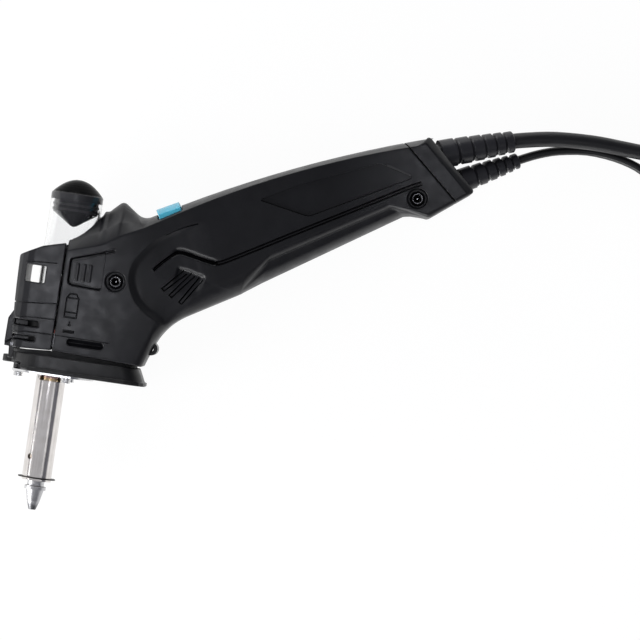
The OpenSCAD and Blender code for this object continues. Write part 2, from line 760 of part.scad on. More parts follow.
module tube_seal() {
    color([0.55, 0.15, 0.1]) lay() turned([
        [glass_in - 1.6, seat_top], [glass_r - 0.2, seat_top],
        [glass_r - 0.2, seal_top], [glass_in - 1.6, seal_top]]);
}

module filter_ring() {
    color([0.9, 0.89, 0.84]) lay() turned([
        [pipe_d / 2 + run_gap, seat_top], [glass_in - 1.9, seat_top],
        [glass_in - 1.9, seat_top + 3], [pipe_d / 2 + run_gap, seat_top + 3]]);
}

nipple_end = glass_r + 6.3;
module hose_nipple() {
    color([0.7, 0.62, 0.35]) lay() translate([glass_r - 5, seat_y + 3.2, 0]) rotate([0, 90, 0])
        difference() {
            cylinder(r = 1.6, h = nipple_end - glass_r + 5, $fn = 32);
            translate([0, 0, -1]) cylinder(r = 0.9, h = 30, $fn = 24);
        }
}

function hose_axis_pt(s) =
    let (h = s * cos(hose_dip))
    lift(handle_pt(hose_exit[0] + h * cos(hose_tilt), hose_exit[1] + h * sin(hose_tilt)),
         hose_z - s * sin(hose_dip));
function lead_axis_pt(s) =
    lift(handle_pt(lead_exit[0] + s * cos(lead_dip), lead_exit[1]), lead_z - s * sin(lead_dip));
inner_route = [
    [nipple_end + 0.1, seat_y + 3.2, 0], [nipple_end + 3, seat_y + 3.2, 0], [24, 17, 0.8], [31, 24, 4],
    [33, 36, 6], lift(handle_pt(-8, -6), 7), lift(handle_pt(8, 0), 7), lift(handle_pt(40, 4), 6),
    lift(handle_pt(hose_exit[0] - 49.6, 7), 5), lift(handle_pt(hose_exit[0] - 25.6, 8.4), 5.2),
    hose_axis_pt(-13), hose_axis_pt(-8.7)
];
module inner_hose() {
    color([0.75, 0.75, 0.72]) lay() tube_along(smooth_path(inner_route, 2), 2.3, 10);
}

board_z = -4;
board_t = 1.6;
board_top = board_z + board_t;
board_u = 14;
board_end = lead_exit[0] - 43.1;
module circuit_board() {
    color([0.1, 0.35, 0.16]) lay() union() {
        handle_box(board_u, -2, board_z, [board_end - board_u, 13, board_t]);
        handle_box(0, 5, board_z, [15, 6, board_t]);
    }
}
module microswitch() {
    color([0.1, 0.1, 0.1]) lay() difference() {
        handle_box(1, 5.2, board_top, [12, 6.5, 5.6]);
        post_shape(0.15, 9, 4);
    }
}
module board_connector() {
    color([0.9, 0.88, 0.8]) lay() handle_box(board_end - 8, 0, board_top, [6, 8, 3.4]);
}

// Wires of the heater: out of the core, up beside the pipe, under the seat and on to the board
wire_start_y = core_top + 0.1;
near_wire = [
    [1.9, wire_start_y, -3.29], [1.3, barrel_top - 2.4, -2.0], [1.3, 2, -2.0], [1.4, 9, -2.0],
    [2.6, 13.2, -2.7], [8, seat_y + 1.6, -3], [18, seat_y + 1.6, -3], [27, 15.4, -4.5], [32, 20.5, -6], [34, 29, -7],
    [37, 37, -7], lift(handle_pt(-5, -9), -6.5), lift(handle_pt(5, -5), -4.4), lift(handle_pt(10.5, -1.2), -3.3),
    lift(handle_pt(13.6, -0.9), board_z + 0.8)
];
far_wire = [
    [1.9, wire_start_y, 3.29], [1.3, barrel_top - 2.4, 2.0], [1.3, 2, 2.0], [1.4, 9, 2.0],
    [2.6, 13.2, 2.7], [8, seat_y + 1.6, 3], [18, seat_y + 1.6, 3], [24, 14.2, 4.2], [31, 15.5, 4.6], [34.5, 20, 2],
    [36, 28, -2], [38.5, 36, -4.6], lift(handle_pt(-3, -7), -4.2), lift(handle_pt(5, -3), -3.4),
    lift(handle_pt(10.5, 1.1), -3.2), lift(handle_pt(13.6, 1.2), board_z + 0.8)
];
module heater_wires() {
    color([0.8, 0.2, 0.15]) lay() for (w = [near_wire, far_wire]) tube_along(smooth_path(w, 2), 0.55, 6);
}

// Inner end of the lead, its clamp, and the way to the board's connector
inner_lead_r = 1.4;
inner_lead_route = [
    lead_axis_pt(-8.6), lead_axis_pt(-11),
    lift(handle_pt(lead_exit[0] - 17, -5.2), lead_z + 2), lift(handle_pt(lead_exit[0] - 21, -2.2), lead_z + 1.4),
    lift(handle_pt(board_end + 16, -0.2), -3), lift(handle_pt(board_end + 10, -0.2), -3),
    lift(handle_pt(board_end + 5, 1.8), -2.4), lift(handle_pt(board_end + 1.5, 4), board_top + 1.6),
    lift(handle_pt(board_end - 1.7, 4), board_top + 1.6)
];
module inner_lead() {
    color([0.25, 0.25, 0.27]) lay() tube_along(smooth_path(inner_lead_route, 3), inner_lead_r, 8);
}
module lead_clamp() {
    color([0.2, 0.2, 0.22]) lay() difference() {
        handle_box(board_end + 10.5, -3.4, -half + side_wall, [4, 6.4, half - side_wall - 2.4]);
        handle_box(board_end + 10, -1.85, -4.6, [5, 3.3, 4]);
    }
}

module hose_strain_relief() {
    color([0.13, 0.13, 0.14]) lay() hose_axis()
        ribbed_relief(hose_root_r, hose_relief_r, 4.9, hose_relief_len, 6, 2);
}
module lead_strain_relief() {
    color([0.13, 0.13, 0.14]) lay() lead_axis()
        ribbed_relief(lead_root_r, lead_relief_r, 3.6, lead_relief_len, 6, 1.2);
}

door_front = -21;
door_side = rounded([
    [-18.4, head_front_y - 1.0, 0.6], [seam_x - seam_gap / 2, head_front_y, 0.3],
    [seam_x - seam_gap / 2, 59.6, 0.3], [-10.8, 56.9, 8], [-20.4, 51.9, 1], [door_front, 51.0, 0.4],
    [-20.2, 30.7, 3], [-18.8, head_front_y + 0.5, 3]
]);
module front_door() {
    color([0.14, 0.14, 0.16]) lay() difference() {
        union() {
            intersection() {
                side_prism(door_side, -head_half, head_half);
                along_barrel() linear_extrude(90) polygon(rounded([
                    [door_front, -head_half, 7], [5, -head_half, 0.5], [5, head_half, 0.5],
                    [door_front, head_half, 7]]));
            }
            // Thumb rib
            side_prism([[-19.5, head_front_y - 1.0], [-19.5, 27], [-20.6, 26.6], [-22.6, 22.9],
                        [-22.8, head_front_y - 0.8]], -5, 5);
        }
        along_barrel() cylinder(r = trough_r, h = 90, $fn = 96);
        // Hinge: the pin's bore and the notches of the flange's ears
        translate([pivot[0], pivot[1], -20]) cylinder(r = door_pin_d / 2 + run_gap, h = 40, $fn = 32);
        for (s = [-1, 1]) translate([0, 0, s > 0 ? ear_z - clear : -ear_z - ear_w - clear])
            linear_extrude(ear_w + 2 * clear) {
                translate(pivot) circle(r = ear_r + 0.5, $fn = 40);
                translate(pivot) polygon([[7, -6.6], [6, 0], [0, 2.3], [-1.3, 1.95], [-6.4, -1.55], [-6.4, -6.6]]);
            }
        // Window and slots, the same on both sides
        for (s = [0, 1]) mirror([0, 0, s]) {
            translate([-8 - window_w, 40.3, -1]) cube([window_w, window_h, 30]);
            difference() {
                translate([0, 0, 2]) union() {
                    translate([-19.5, 20.3, 0]) cube([11.7, 2.9, 20]);
                    translate([-19.0, 13.9, 4.6]) cube([10.5, 2.4, 20]);
                }
                along_barrel() cylinder(r = trough_r + 1.4, h = 90, $fn = 64);
            }
            // Ridge lines
            for (y = [31.5, 24.7]) translate([-25, y, head_half - 0.3]) cube([40, 0.4, 2]);
            translate([-25, 17.9, head_half - 0.3]) cube([40, 0.4, 2]);
        }
    }
}

module door_hinge_pin() {
    color([0.7, 0.7, 0.72]) lay() translate([pivot[0], pivot[1], -11]) cylinder(d = door_pin_d, h = 22, $fn = 32);
}

module latch() {
    difference() {
        union() {
            side_prism(latch_outline(0), head_half - latch_t, head_half);
            translate([latch_pivot_x, 42.2, latch_pivot_z]) along_barrel() cylinder(r = latch_pin_r, h = 14.6, $fn = 32);
            for (x = [5.9, 8.9, 11.6]) translate([x - 0.6, 43.6, head_half - 0.5]) cube([1.1, 7.6, 1.0]);
        }
        translate([latch_pivot_x + 0.2, 30, 0]) cube([10, 40, latch_pivot_z - 1]);
    }
}
module latch_left() {
    color([0.14, 0.14, 0.16]) lay() latch();
}
module latch_right() {
    color([0.14, 0.14, 0.16]) lay() mirror([0, 0, 1]) latch();
}

module glass_tube() {
    color([0.85, 0.92, 0.95, 0.4]) lay() turned([
        [glass_in, glass_y], [glass_r, glass_y], [glass_r, glass_top], [glass_in, glass_top]]);
}

band_h = 2.9;
plug_r = glass_in - 0.4;
seal_spots = [glass_top - 1.9, glass_top - 4.2];
module tube_cap() {
    dome = [for (k = [0:8]) let (r = 1 - k / 8)
        [glass_r * r, glass_top + band_h + dome_h * (1 - r * r)]];
    color([0.09, 0.09, 0.1]) lay() turned(concat(
        [[0, glass_top - 11.6], [1.5, glass_top - 11.1], [plug_r, glass_top - 5.3]],
        [for (k = [1, 0]) each [
            [plug_r, seal_spots[k] - 0.6], [plug_r - 0.9, seal_spots[k] - 0.6],
            [plug_r - 0.9, seal_spots[k] + 0.6], [plug_r, seal_spots[k] + 0.6]]],
        [[plug_r, glass_top + seat_gap], [glass_r, glass_top + seat_gap]],
        [for (p = dome) if (p[0] > 0.01) p], [[0, glass_top + band_h + dome_h]]));
}
module cap_seals() {
    color([0.25, 0.25, 0.26]) lay() for (y = seal_spots) turned([
        [plug_r - 0.9 + eps, y - 0.5], [glass_in - run_gap, y - 0.5],
        [glass_in - run_gap, y + 0.5], [plug_r - 0.9 + eps, y + 0.5]]);
}

// The button follows the handle's crown, seen along the handle
crown_r = 34;
module trigger_button() {
    color([0.25, 0.68, 0.85]) lay() {
        intersection() {
            at_handle(button_u - button_len / 2, button_v - button_sunk, -button_w / 2)
                linear_extrude(button_w) polygon([
                    [0, 0], [button_len, 0], [button_len, button_sunk - 3.7], [button_len - 0.4, button_sunk + 0.5],
                    [-button_lean, button_sunk + button_h - 3.7], [0, button_sunk - 3.7]]);
            at_handle(button_u - button_len, button_v - crown_r, 0) rotate([0, 90, 0])
                cylinder(r = crown_r, h = 2 * button_len, $fn = 128);
        }
        post_shape(0, 11.2, button_v - 14.2);
    }
}

// Routes of the cords in the plane of the bench, with the height of their middle above it
hose_ring = [310, 112];
hose_ring_r = 36;
lead_ring = [300, 37];
lead_ring_r = 24;
hose_route = [
    [206, 137.6, 9.9], [218, 138.7, 8.6], [230, 139.0, 7.2], [243, 138.4, 5.2], [256, 138.0, 3.8],
    [270, 139.2, 3.5], [282.4, 142.7, 3.5], [293.3, 147.8, 3.5]
];
lead_route = [
    [203, 130.4, 6.1], [212, 133.3, 4.6], [225, 135.2, 2.6], [238, 134.2, 2], [248.5, 131.3, 2],
    [255, 127.2, 2], [259.6, 121.5, 2], [262, 114, 2], [263.4, 103, 2], [265, 90, 2], [267, 78, 2],
    [269.6, 62, 2], [271.4, 49, 2], [272, 37, 2]
];
hose_start = [hose_axis_pt(hose_relief_len - 0.55), hose_axis_pt(hose_relief_len + 3)];
lead_start = [lead_axis_pt(lead_relief_len - 0.55), lead_axis_pt(lead_relief_len + 3)];
function benched(p) = [p[0], p[1], p[2] - half];

module vacuum_hose() {
    color([0.16, 0.16, 0.18]) lay()
        tube_along(smooth_path(concat(hose_start, [for (p = hose_route) benched(p)]), 2), hose_d / 2, 12);
}
module power_lead() {
    color([0.12, 0.12, 0.13]) lay()
        tube_along(smooth_path(concat(lead_start, [for (p = lead_route) benched(p)]), 2), lead_d / 2, 8);
}

// A coil's outer shape
module coil_shape(centre, mid_r, across, height) {
    translate([centre[0], centre[1], -half]) rotate_extrude($fn = 64)
        translate([mid_r - across / 2, 0]) square([across, height]);
}
module hose_coil() {
    color([0.16, 0.16, 0.18]) lay() coil_shape(hose_ring, hose_ring_r, 2 * hose_d, 3 * hose_d);
}
module lead_coil() {
    color([0.12, 0.12, 0.13]) lay() coil_shape(lead_ring, lead_ring_r, 3 * lead_d, 3 * lead_d);
}

tie_t = 0.8;
module tie_shape(centre, mid_r, across, height, width, angle) {
    translate([centre[0], centre[1], -half]) rotate([0, 0, angle]) difference() {
        translate([mid_r - across / 2 - tie_t, -width / 2, 0])
            cube([across + 2 * tie_t, width, height + tie_t]);
        translate([mid_r - across / 2, -width, tie_t]) cube([across, 2 * width, height - tie_t]);
    }
}
module hose_tie() {
    color([0.2, 0.2, 0.2]) lay() tie_shape(hose_ring, hose_ring_r, 2 * hose_d, 3 * hose_d, 12, 80);
}
module lead_tie() {
    color([0.2, 0.2, 0.2]) lay() tie_shape(lead_ring, lead_ring_r, 3 * lead_d, 3 * lead_d, 10, 20);
}

hose_leave = 12;
function hose_tail_pt(s, z) =
    lift(hose_ring + (hose_ring_r + hose_d / 2) * [cos(hose_leave), sin(hose_leave)]
         + s * [sin(hose_leave), -cos(hose_leave)], z);
hose_tail_route = [
    hose_tail_pt(0, 10.5), hose_tail_pt(12, 10.4), hose_tail_pt(19, 9.2),
    hose_tail_pt(28, 6.4), hose_tail_pt(33.5, 5.5), hose_tail_pt(38, 5.5)
];
lead_tail_route = [[300, 9, 10], [306, 9, 10], [312.5, 9, 9.3], [319, 9, 8], [323, 9, 8]];
module hose_tail() {
    color([0.16, 0.16, 0.18]) lay() tube_along([for (p = hose_tail_route) benched(p)], hose_d / 2, 12);
}
module lead_tail() {
    color([0.12, 0.12, 0.13]) lay() tube_along([for (p = lead_tail_route) benched(p)], lead_d / 2, 8);
}

fitting_r = 5.5;
module hose_fitting() {
    end = hose_tail_route[5];
    color([0.7, 0.6, 0.35]) lay() translate([end[0], end[1], fitting_r - half]) rotate([90, 0, hose_leave])
        rotate_extrude($fn = 64) polygon([
            [2, 0], [fitting_r, 0], [fitting_r, 9], [4.6, 10], [4.6, 13], [3.2, 13], [3.2, 24], [2, 25]]);
}
plug_r_out = 8;
module lead_plug() {
    end = lead_tail_route[4];
    color([0.14, 0.14, 0.15]) lay() translate([end[0], end[1], plug_r_out - half]) rotate([0, 90, 0])
        rotate_extrude($fn = 64) polygon([
            [0, 0], [3.4, 0], [4.6, 8], [plug_r_out - 1, 9], [plug_r_out, 10], [plug_r_out, 20],
            [plug_r_out - 1.4, 21], [plug_r_out - 1.4, 30], [plug_r_out - 2.2, 30], [plug_r_out - 2.2, 23], [0, 23]]);
}
module plug_pins() {
    end = lead_tail_route[4];
    color([0.8, 0.68, 0.3]) lay() for (k = [0:5]) translate([end[0] + 23, end[1], plug_r_out - half])
        rotate([60 * k, 0, 0]) translate([0, 3.3, 0]) rotate([0, 90, 0]) cylinder(r = 0.5, h = 5, $fn = 16);
}

housing_left();
housing_right();
end_cap();
housing_screws();
rest_lug();
flange();
insulating_spacer();
heat_shield_plate();
flange_screws();
barrel_tube();
barrel_collar();
end_washer();
desoldering_tip();
heater_core();
heater_cartridges();
temperature_sensor();
suction_pipe();
seal_seat();
tube_seal();
filter_ring();
hose_nipple();
inner_hose();
microswitch();
circuit_board();
board_connector();
heater_wires();
inner_lead();
lead_clamp();
hose_strain_relief();
lead_strain_relief();
front_door();
door_hinge_pin();
latch_left();
latch_right();
glass_tube();
tube_cap();
cap_seals();
trigger_button();
vacuum_hose();
hose_coil();
hose_tail();
hose_fitting();
hose_tie();
power_lead();
lead_coil();
lead_tail();
lead_plug();
plug_pins();
lead_tie();
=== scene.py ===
"""Looks of a vacuum desoldering iron: its finishes, cords, softened mouldings and a plain photo studio."""

from __future__ import annotations

import json
import logging
import math
from collections.abc import Callable, Sequence
from dataclasses import dataclass, field
from enum import Enum

import bmesh
import bpy
import numpy as np
from mathutils import Matrix, Vector

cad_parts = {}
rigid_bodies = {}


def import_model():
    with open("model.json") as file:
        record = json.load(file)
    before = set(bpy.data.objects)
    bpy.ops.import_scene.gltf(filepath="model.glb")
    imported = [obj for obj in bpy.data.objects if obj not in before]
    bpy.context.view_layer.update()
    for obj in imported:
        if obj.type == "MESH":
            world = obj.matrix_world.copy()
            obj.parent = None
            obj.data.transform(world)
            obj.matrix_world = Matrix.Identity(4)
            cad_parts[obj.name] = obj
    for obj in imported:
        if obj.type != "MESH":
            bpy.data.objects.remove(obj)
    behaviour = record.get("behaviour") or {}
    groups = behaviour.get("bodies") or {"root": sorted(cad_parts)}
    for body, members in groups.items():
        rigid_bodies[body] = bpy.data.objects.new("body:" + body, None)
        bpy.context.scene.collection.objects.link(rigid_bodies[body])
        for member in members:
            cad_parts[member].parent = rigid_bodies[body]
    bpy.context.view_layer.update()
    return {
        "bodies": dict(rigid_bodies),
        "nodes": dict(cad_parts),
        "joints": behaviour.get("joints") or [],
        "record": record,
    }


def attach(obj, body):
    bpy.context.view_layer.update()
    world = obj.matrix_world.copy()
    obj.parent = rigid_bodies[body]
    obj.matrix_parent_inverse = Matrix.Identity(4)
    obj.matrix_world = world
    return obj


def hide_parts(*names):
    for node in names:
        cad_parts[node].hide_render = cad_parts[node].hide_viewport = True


LOG = logging.getLogger("desoldering_iron")
MM = 0.001
LYING_Y = 5.42  # where the frame's origin lies along the barrel, in millimetres
HALF = 17.0  # half the handle's width, and so the mid plane's height over the bench, in millimetres
ROUND_STEPS = 12  # stretches per rounded corner of an outline
MOULDED_EDGE = 50.0  # edges of moulded pieces sharper than this stay sharp, in degrees
TURNED_EDGE = 40.0  # the same for screws and strain reliefs

Flat = tuple[float, float]
Point = tuple[float, float, float]
Colour = tuple[float, float, float]
Piece = bpy.types.Object
Socket = bpy.types.NodeSocket


def at(x: float, y: float, z: float = 0.0) -> Vector:
    """Turn a point on the barrel's axes, in millimetres from root and mid plane, into a place in metres."""
    return Vector((x, y - LYING_Y, z + HALF)) * MM


def on_bench(x: float, y: float, height: float) -> Vector:
    """Turn x and y on the barrel's axes and a height over the bench, in millimetres, into metres."""
    return Vector((x, y - LYING_Y, height)) * MM


@dataclass(frozen=True)
class HandleFrame:
    """The slanted axes of the handle, in which its fittings were laid out."""

    bend: Flat = (47.0, 57.0)
    angle: float = math.radians(28.0)
    length: float = 128.6

    def flat(self, u: float, v: float) -> Flat:
        """Give the barrel-axis x and y of the place u along the handle and v across it, in millimetres."""
        c, s = math.cos(self.angle), math.sin(self.angle)
        return self.bend[0] + u * c - v * s, self.bend[1] + u * s + v * c


HANDLE = HandleFrame()
HL = HANDLE.length
SCREW_SPOTS = ((23.3, 45.6), HANDLE.flat(HL - 15.6, -9.5))


def on_handle(*places: Flat) -> np.ndarray:
    """Turn places along and across the handle into rows of the barrel axes' x and y."""
    return np.array([HANDLE.flat(*place) for place in places])


def slanted(*corners: Point) -> list[Point]:
    """Turn rounded corners along and across the handle into such corners on the barrel's axes."""
    return [(*HANDLE.flat(u, v), radius) for u, v, radius in corners]


# ---- finishes


class Graph:
    """A node tree, written call by call."""

    def __init__(self, tree: bpy.types.NodeTree, output: str) -> None:
        """Empty a tree and give it its output.

        Args:
            tree: The tree.
            output: The output node's type, as for add.
        """
        self.tree = tree
        tree.nodes.clear()
        self.output = self.add(output)

    def feed(self, socket: Socket, value: Socket | float | Colour) -> None:
        """Link a socket to another one or set its value.

        Args:
            socket: The socket to feed.
            value: The socket to read, or the value to set.
        """
        if isinstance(value, bpy.types.NodeSocket):
            self.tree.links.new(value, socket)
        else:
            socket.default_value = (*value, 1.0) if socket.type == "RGBA" else value

    def wire(self, node: bpy.types.Node, **values: Socket | float | Colour) -> bpy.types.Node:
        """Feed a node's inputs by name.

        Args:
            node: The node.
            **values: A socket, a number or a colour for each input, with underscores for spaces.

        Returns:
            The same node.
        """
        for key, value in values.items():
            self.feed(node.inputs[key.replace("_", " ")], value)
        return node

    def add(self, kind: str, *first: Socket | float, **named: Socket | float | Colour) -> bpy.types.Node:
        """Add a node.

        Args:
            kind: Its type, without the leading ShaderNode.
            *first: What feeds its first inputs, in order.
            **named: What feeds other inputs, as for wire.

        Returns:
            The node.
        """
        node = self.tree.nodes.new(f"ShaderNode{kind}")
        for socket, value in zip(node.inputs, first):
            self.feed(socket, value)
        return self.wire(node, **named)

    def show(self, shader: bpy.types.Node) -> None:
        """Let the output show a shader."""
        self.wire(self.output, Surface=shader.outputs[0])

    def mix(self, share: Socket, first: bpy.types.Node, second: bpy.types.Node) -> bpy.types.Node:
        """Mix two shaders; a share of 0 gives the first."""
        return self.add("MixShader", share, first.outputs[0], second.outputs[0])

    def maths(self, kind: str, a: Socket, b: Socket | float) -> Socket:
        """Combine two values.

        Args:
            kind: The operation, as Blender names it.
            a: The first value.
            b: The second value, or a number.

        Returns:
            The result.
        """
        node = self.add("Math", a, b)
        node.operation = kind
        return node.outputs[0]

    def spread(self, value: Socket, low: float, high: float, start: float = 0.3, end: float = 0.7) -> Socket:
        """Map a value from start..end to low..high."""
        node = self.add("MapRange", value, From_Min=start, From_Max=end, To_Min=low, To_Max=high)
        return node.outputs["Result"]

    def seen_directly(self, share: float) -> Socket:
        """Give a share where the camera sees a surface, straight, mirrored or through glass.

        Args:
            share: The value there.

        Returns:
            The value, 0 for the light that bounces on.
        """
        rays = self.add("LightPath").outputs
        total = self.maths("MAXIMUM", rays["Is Camera Ray"], rays["Is Transmission Ray"])
        return self.maths("MULTIPLY", self.maths("MAXIMUM", total, rays["Is Glossy Ray"]), share)


class Shade(Graph):
    """A material's node tree."""

    def __init__(self, name: str) -> None:
        """Start a material with a Principled shader.

        Args:
            name: The material's name.
        """
        self.material = bpy.data.materials.new(name)
        self.material.use_nodes = True
        super().__init__(self.material.node_tree, "OutputMaterial")
        self.shader = self.add("BsdfPrincipled")
        self.show(self.shader)
        self.place = self.add("TexCoord").outputs["Object"]

    def set(self, **values: Socket | float | Colour) -> None:
        """Feed the shader's inputs by name, as for wire."""
        self.wire(self.shader, **values)

    def mapped(self, scale: Point) -> Socket:
        """Give the object's coordinates, scaled along X, Y and Z."""
        return self.add("Mapping", self.place, Scale=scale).outputs[0]

    def noise(self, size_mm: float, detail: float = 3.0, rough: float = 0.5, vector: Socket | None = None) -> Socket:
        """Add noise whose blobs are about size_mm wide, over the object or over another vector."""
        node = self.add("TexNoise", vector or self.place, Scale=1.0 / (size_mm * MM), Detail=detail, Roughness=rough)
        return node.outputs["Fac"]

    def ramp(self, value: Socket, stops: Sequence[tuple[float, Colour]]) -> Socket:
        """Turn a value into a colour.

        Args:
            value: The value to read.
            stops: Places from 0 to 1 with their colours.

        Returns:
            The colour.
        """
        node = self.add("ValToRGB", value)
        band = node.color_ramp
        while len(band.elements) < len(stops):
            band.elements.new(0.5)
        for element, (place, colour) in zip(band.elements, stops):
            element.position = place
            element.color = (*colour, 1.0)
        return node.outputs["Color"]

    def axis(self, name: str, start: float, end: float) -> Socket:
        """Give 0 to 1 along one axis of the object, from start to end in metres."""
        return self.spread(self.add("SeparateXYZ", self.place).outputs[name], 0.0, 1.0, start, end)

    def bump(self, height: Socket, depth_mm: float) -> None:
        """Let a height field of about 0 to 1 stand out of the surface by a depth in millimetres."""
        node = self.add("Bump", Distance=depth_mm * MM, Strength=1.0, Height=height)
        self.set(Normal=node.outputs[0])


@dataclass(frozen=True)
class Moulding:
    """Moulded plastic or rubber: faint mottle, a spark-eroded grain and an uneven sheen."""

    name: str
    dark: Colour
    light: Colour
    roughness: Flat = (0.4, 0.5)
    grain_mm: float = 0.35
    grain_depth_mm: float = 0.012
    mottle_mm: float = 14.0
    specular: float = 0.5

    def make(self) -> bpy.types.Material:
        """Write the material's nodes.

        Returns:
            The material.
        """
        shade = Shade(self.name)
        mottle = shade.ramp(shade.noise(self.mottle_mm, 4.0), [(0.3, self.dark), (0.75, self.light)])
        wear = shade.spread(shade.noise(self.mottle_mm * 0.35), *self.roughness)
        shade.set(Base_Color=mottle, Roughness=wear, Specular_IOR_Level=self.specular)
        shade.bump(shade.noise(self.grain_mm, 2.0), self.grain_depth_mm)
        return shade.material


class Lay(Enum):
    """Which way the grinding or turning marks of a metal run."""

    ROUND = (0.02, 1.0, 0.02)
    LENGTHWISE = (1.0, 0.03, 1.0)
    EVEN = (1.0, 1.0, 1.0)


@dataclass(frozen=True)
class Metal:
    """Bare metal with tool marks."""

    name: str
    dark: Colour
    light: Colour
    roughness: Flat = (0.2, 0.35)
    lay: Lay = Lay.EVEN
    mark_mm: float = 0.6
    mark_depth_mm: float = 0.003

    def make(self) -> bpy.types.Material:
        """Write the material's nodes.

        Returns:
            The material.
        """
        shade = Shade(self.name)
        marks = shade.noise(self.mark_mm, 4.0, 0.6, shade.mapped(self.lay.value))
        stained = shade.maths("MULTIPLY", marks, shade.spread(shade.noise(6.0), 0.75, 1.25))
        shade.set(Base_Color=shade.ramp(stained, [(0.3, self.dark), (0.65, self.light)]),
                  Roughness=shade.spread(marks, *self.roughness), Metallic=1.0)
        shade.bump(marks, self.mark_depth_mm)
        return shade.material


@dataclass(frozen=True)
class TintedMetal:
    """Metal whose colour changes along the barrel, from heat or from solder."""

    name: str
    stops: tuple[tuple[float, Colour], ...]
    start: float
    end: float
    roughness: Flat = (0.2, 0.4)
    mark_mm: float = 0.5
    mark_depth_mm: float = 0.003

    def make(self) -> bpy.types.Material:
        """Write the material's nodes.

        Returns:
            The material.
        """
        shade = Shade(self.name)
        blur = shade.spread(shade.noise(2.5, 4.0), -0.08, 0.08)
        along = shade.maths("ADD", shade.axis("Y", self.start, self.end), blur)
        marks = shade.noise(self.mark_mm, 3.0, 0.6, shade.mapped(Lay.ROUND.value))
        shade.set(Base_Color=shade.ramp(along, self.stops), Roughness=shade.spread(marks, *self.roughness),
                  Metallic=1.0)
        shade.bump(marks, self.mark_depth_mm)
        return shade.material


@dataclass(frozen=True)
class ClearGlass:
    """The solder tube's glass, with the faint smears of a handled tube."""

    name: str

    def make(self) -> bpy.types.Material:
        """Write the material's nodes.

        Returns:
            The material.
        """
        shade = Shade(self.name)
        smears = shade.spread(shade.noise(9.0, 4.0), 0.0, 0.05, 0.45, 0.75)
        shade.set(Base_Color=(0.985, 0.988, 0.99), Transmission_Weight=1.0, IOR=1.47, Roughness=smears)
        return shade.material


@dataclass(frozen=True)
class Cloth:
    """Woven strap or felt."""

    name: str
    dark: Colour
    light: Colour
    thread_mm: float = 0.5

    def make(self) -> bpy.types.Material:
        """Write the material's nodes.

        Returns:
            The material.
        """
        shade = Shade(self.name)
        weave = shade.noise(self.thread_mm, 2.0, 0.7, shade.mapped((1.0, 1.0, 0.35)))
        shade.set(Base_Color=shade.ramp(weave, [(0.35, self.dark), (0.65, self.light)]), Roughness=0.85,
                  Specular_IOR_Level=0.2, Sheen_Weight=0.3, Sheen_Roughness=0.5)
        shade.bump(weave, 0.08)
        return shade.material


@dataclass(frozen=True)
class ShadePaintedCap:
    """The tube cap's rubber, with painted shade: the dome is coloured deep black with its reflections held back,
    over a greyer, glossier band and the plug in the glass.
    """

    name: str
    grey: Colour = (0.034, 0.034, 0.037)
    black: Colour = (0.002, 0.002, 0.0025)
    edge: Flat = (0.7625, 0.768)

    def make(self) -> bpy.types.Material:
        """Write the material's nodes.

        Returns:
            The material.
        """
        shade = Shade(self.name)
        up = shade.maths("ADD", shade.axis("Y", 0.0, 0.1), shade.spread(shade.noise(1.5), -0.002, 0.002))
        # painted shade: above the band's edge the dome is coloured near-black and reflects almost nothing; below it
        # the band stays grey and glossy
        places = (0.0, *self.edge, 1.0)
        painted_shade_gloss = [(shine,) * 3 for shine in (0.7, 0.5, 0.04, 0.04)]
        shade.set(Base_Color=shade.ramp(up, [*zip(places, (self.grey, self.grey, self.black, self.black))]),
                  Specular_IOR_Level=shade.ramp(up, [*zip(places, painted_shade_gloss)]),
                  Roughness=shade.spread(shade.noise(4.0), 0.16, 0.28))
        shade.bump(shade.noise(0.5, 2.0), 0.003)
        return shade.material


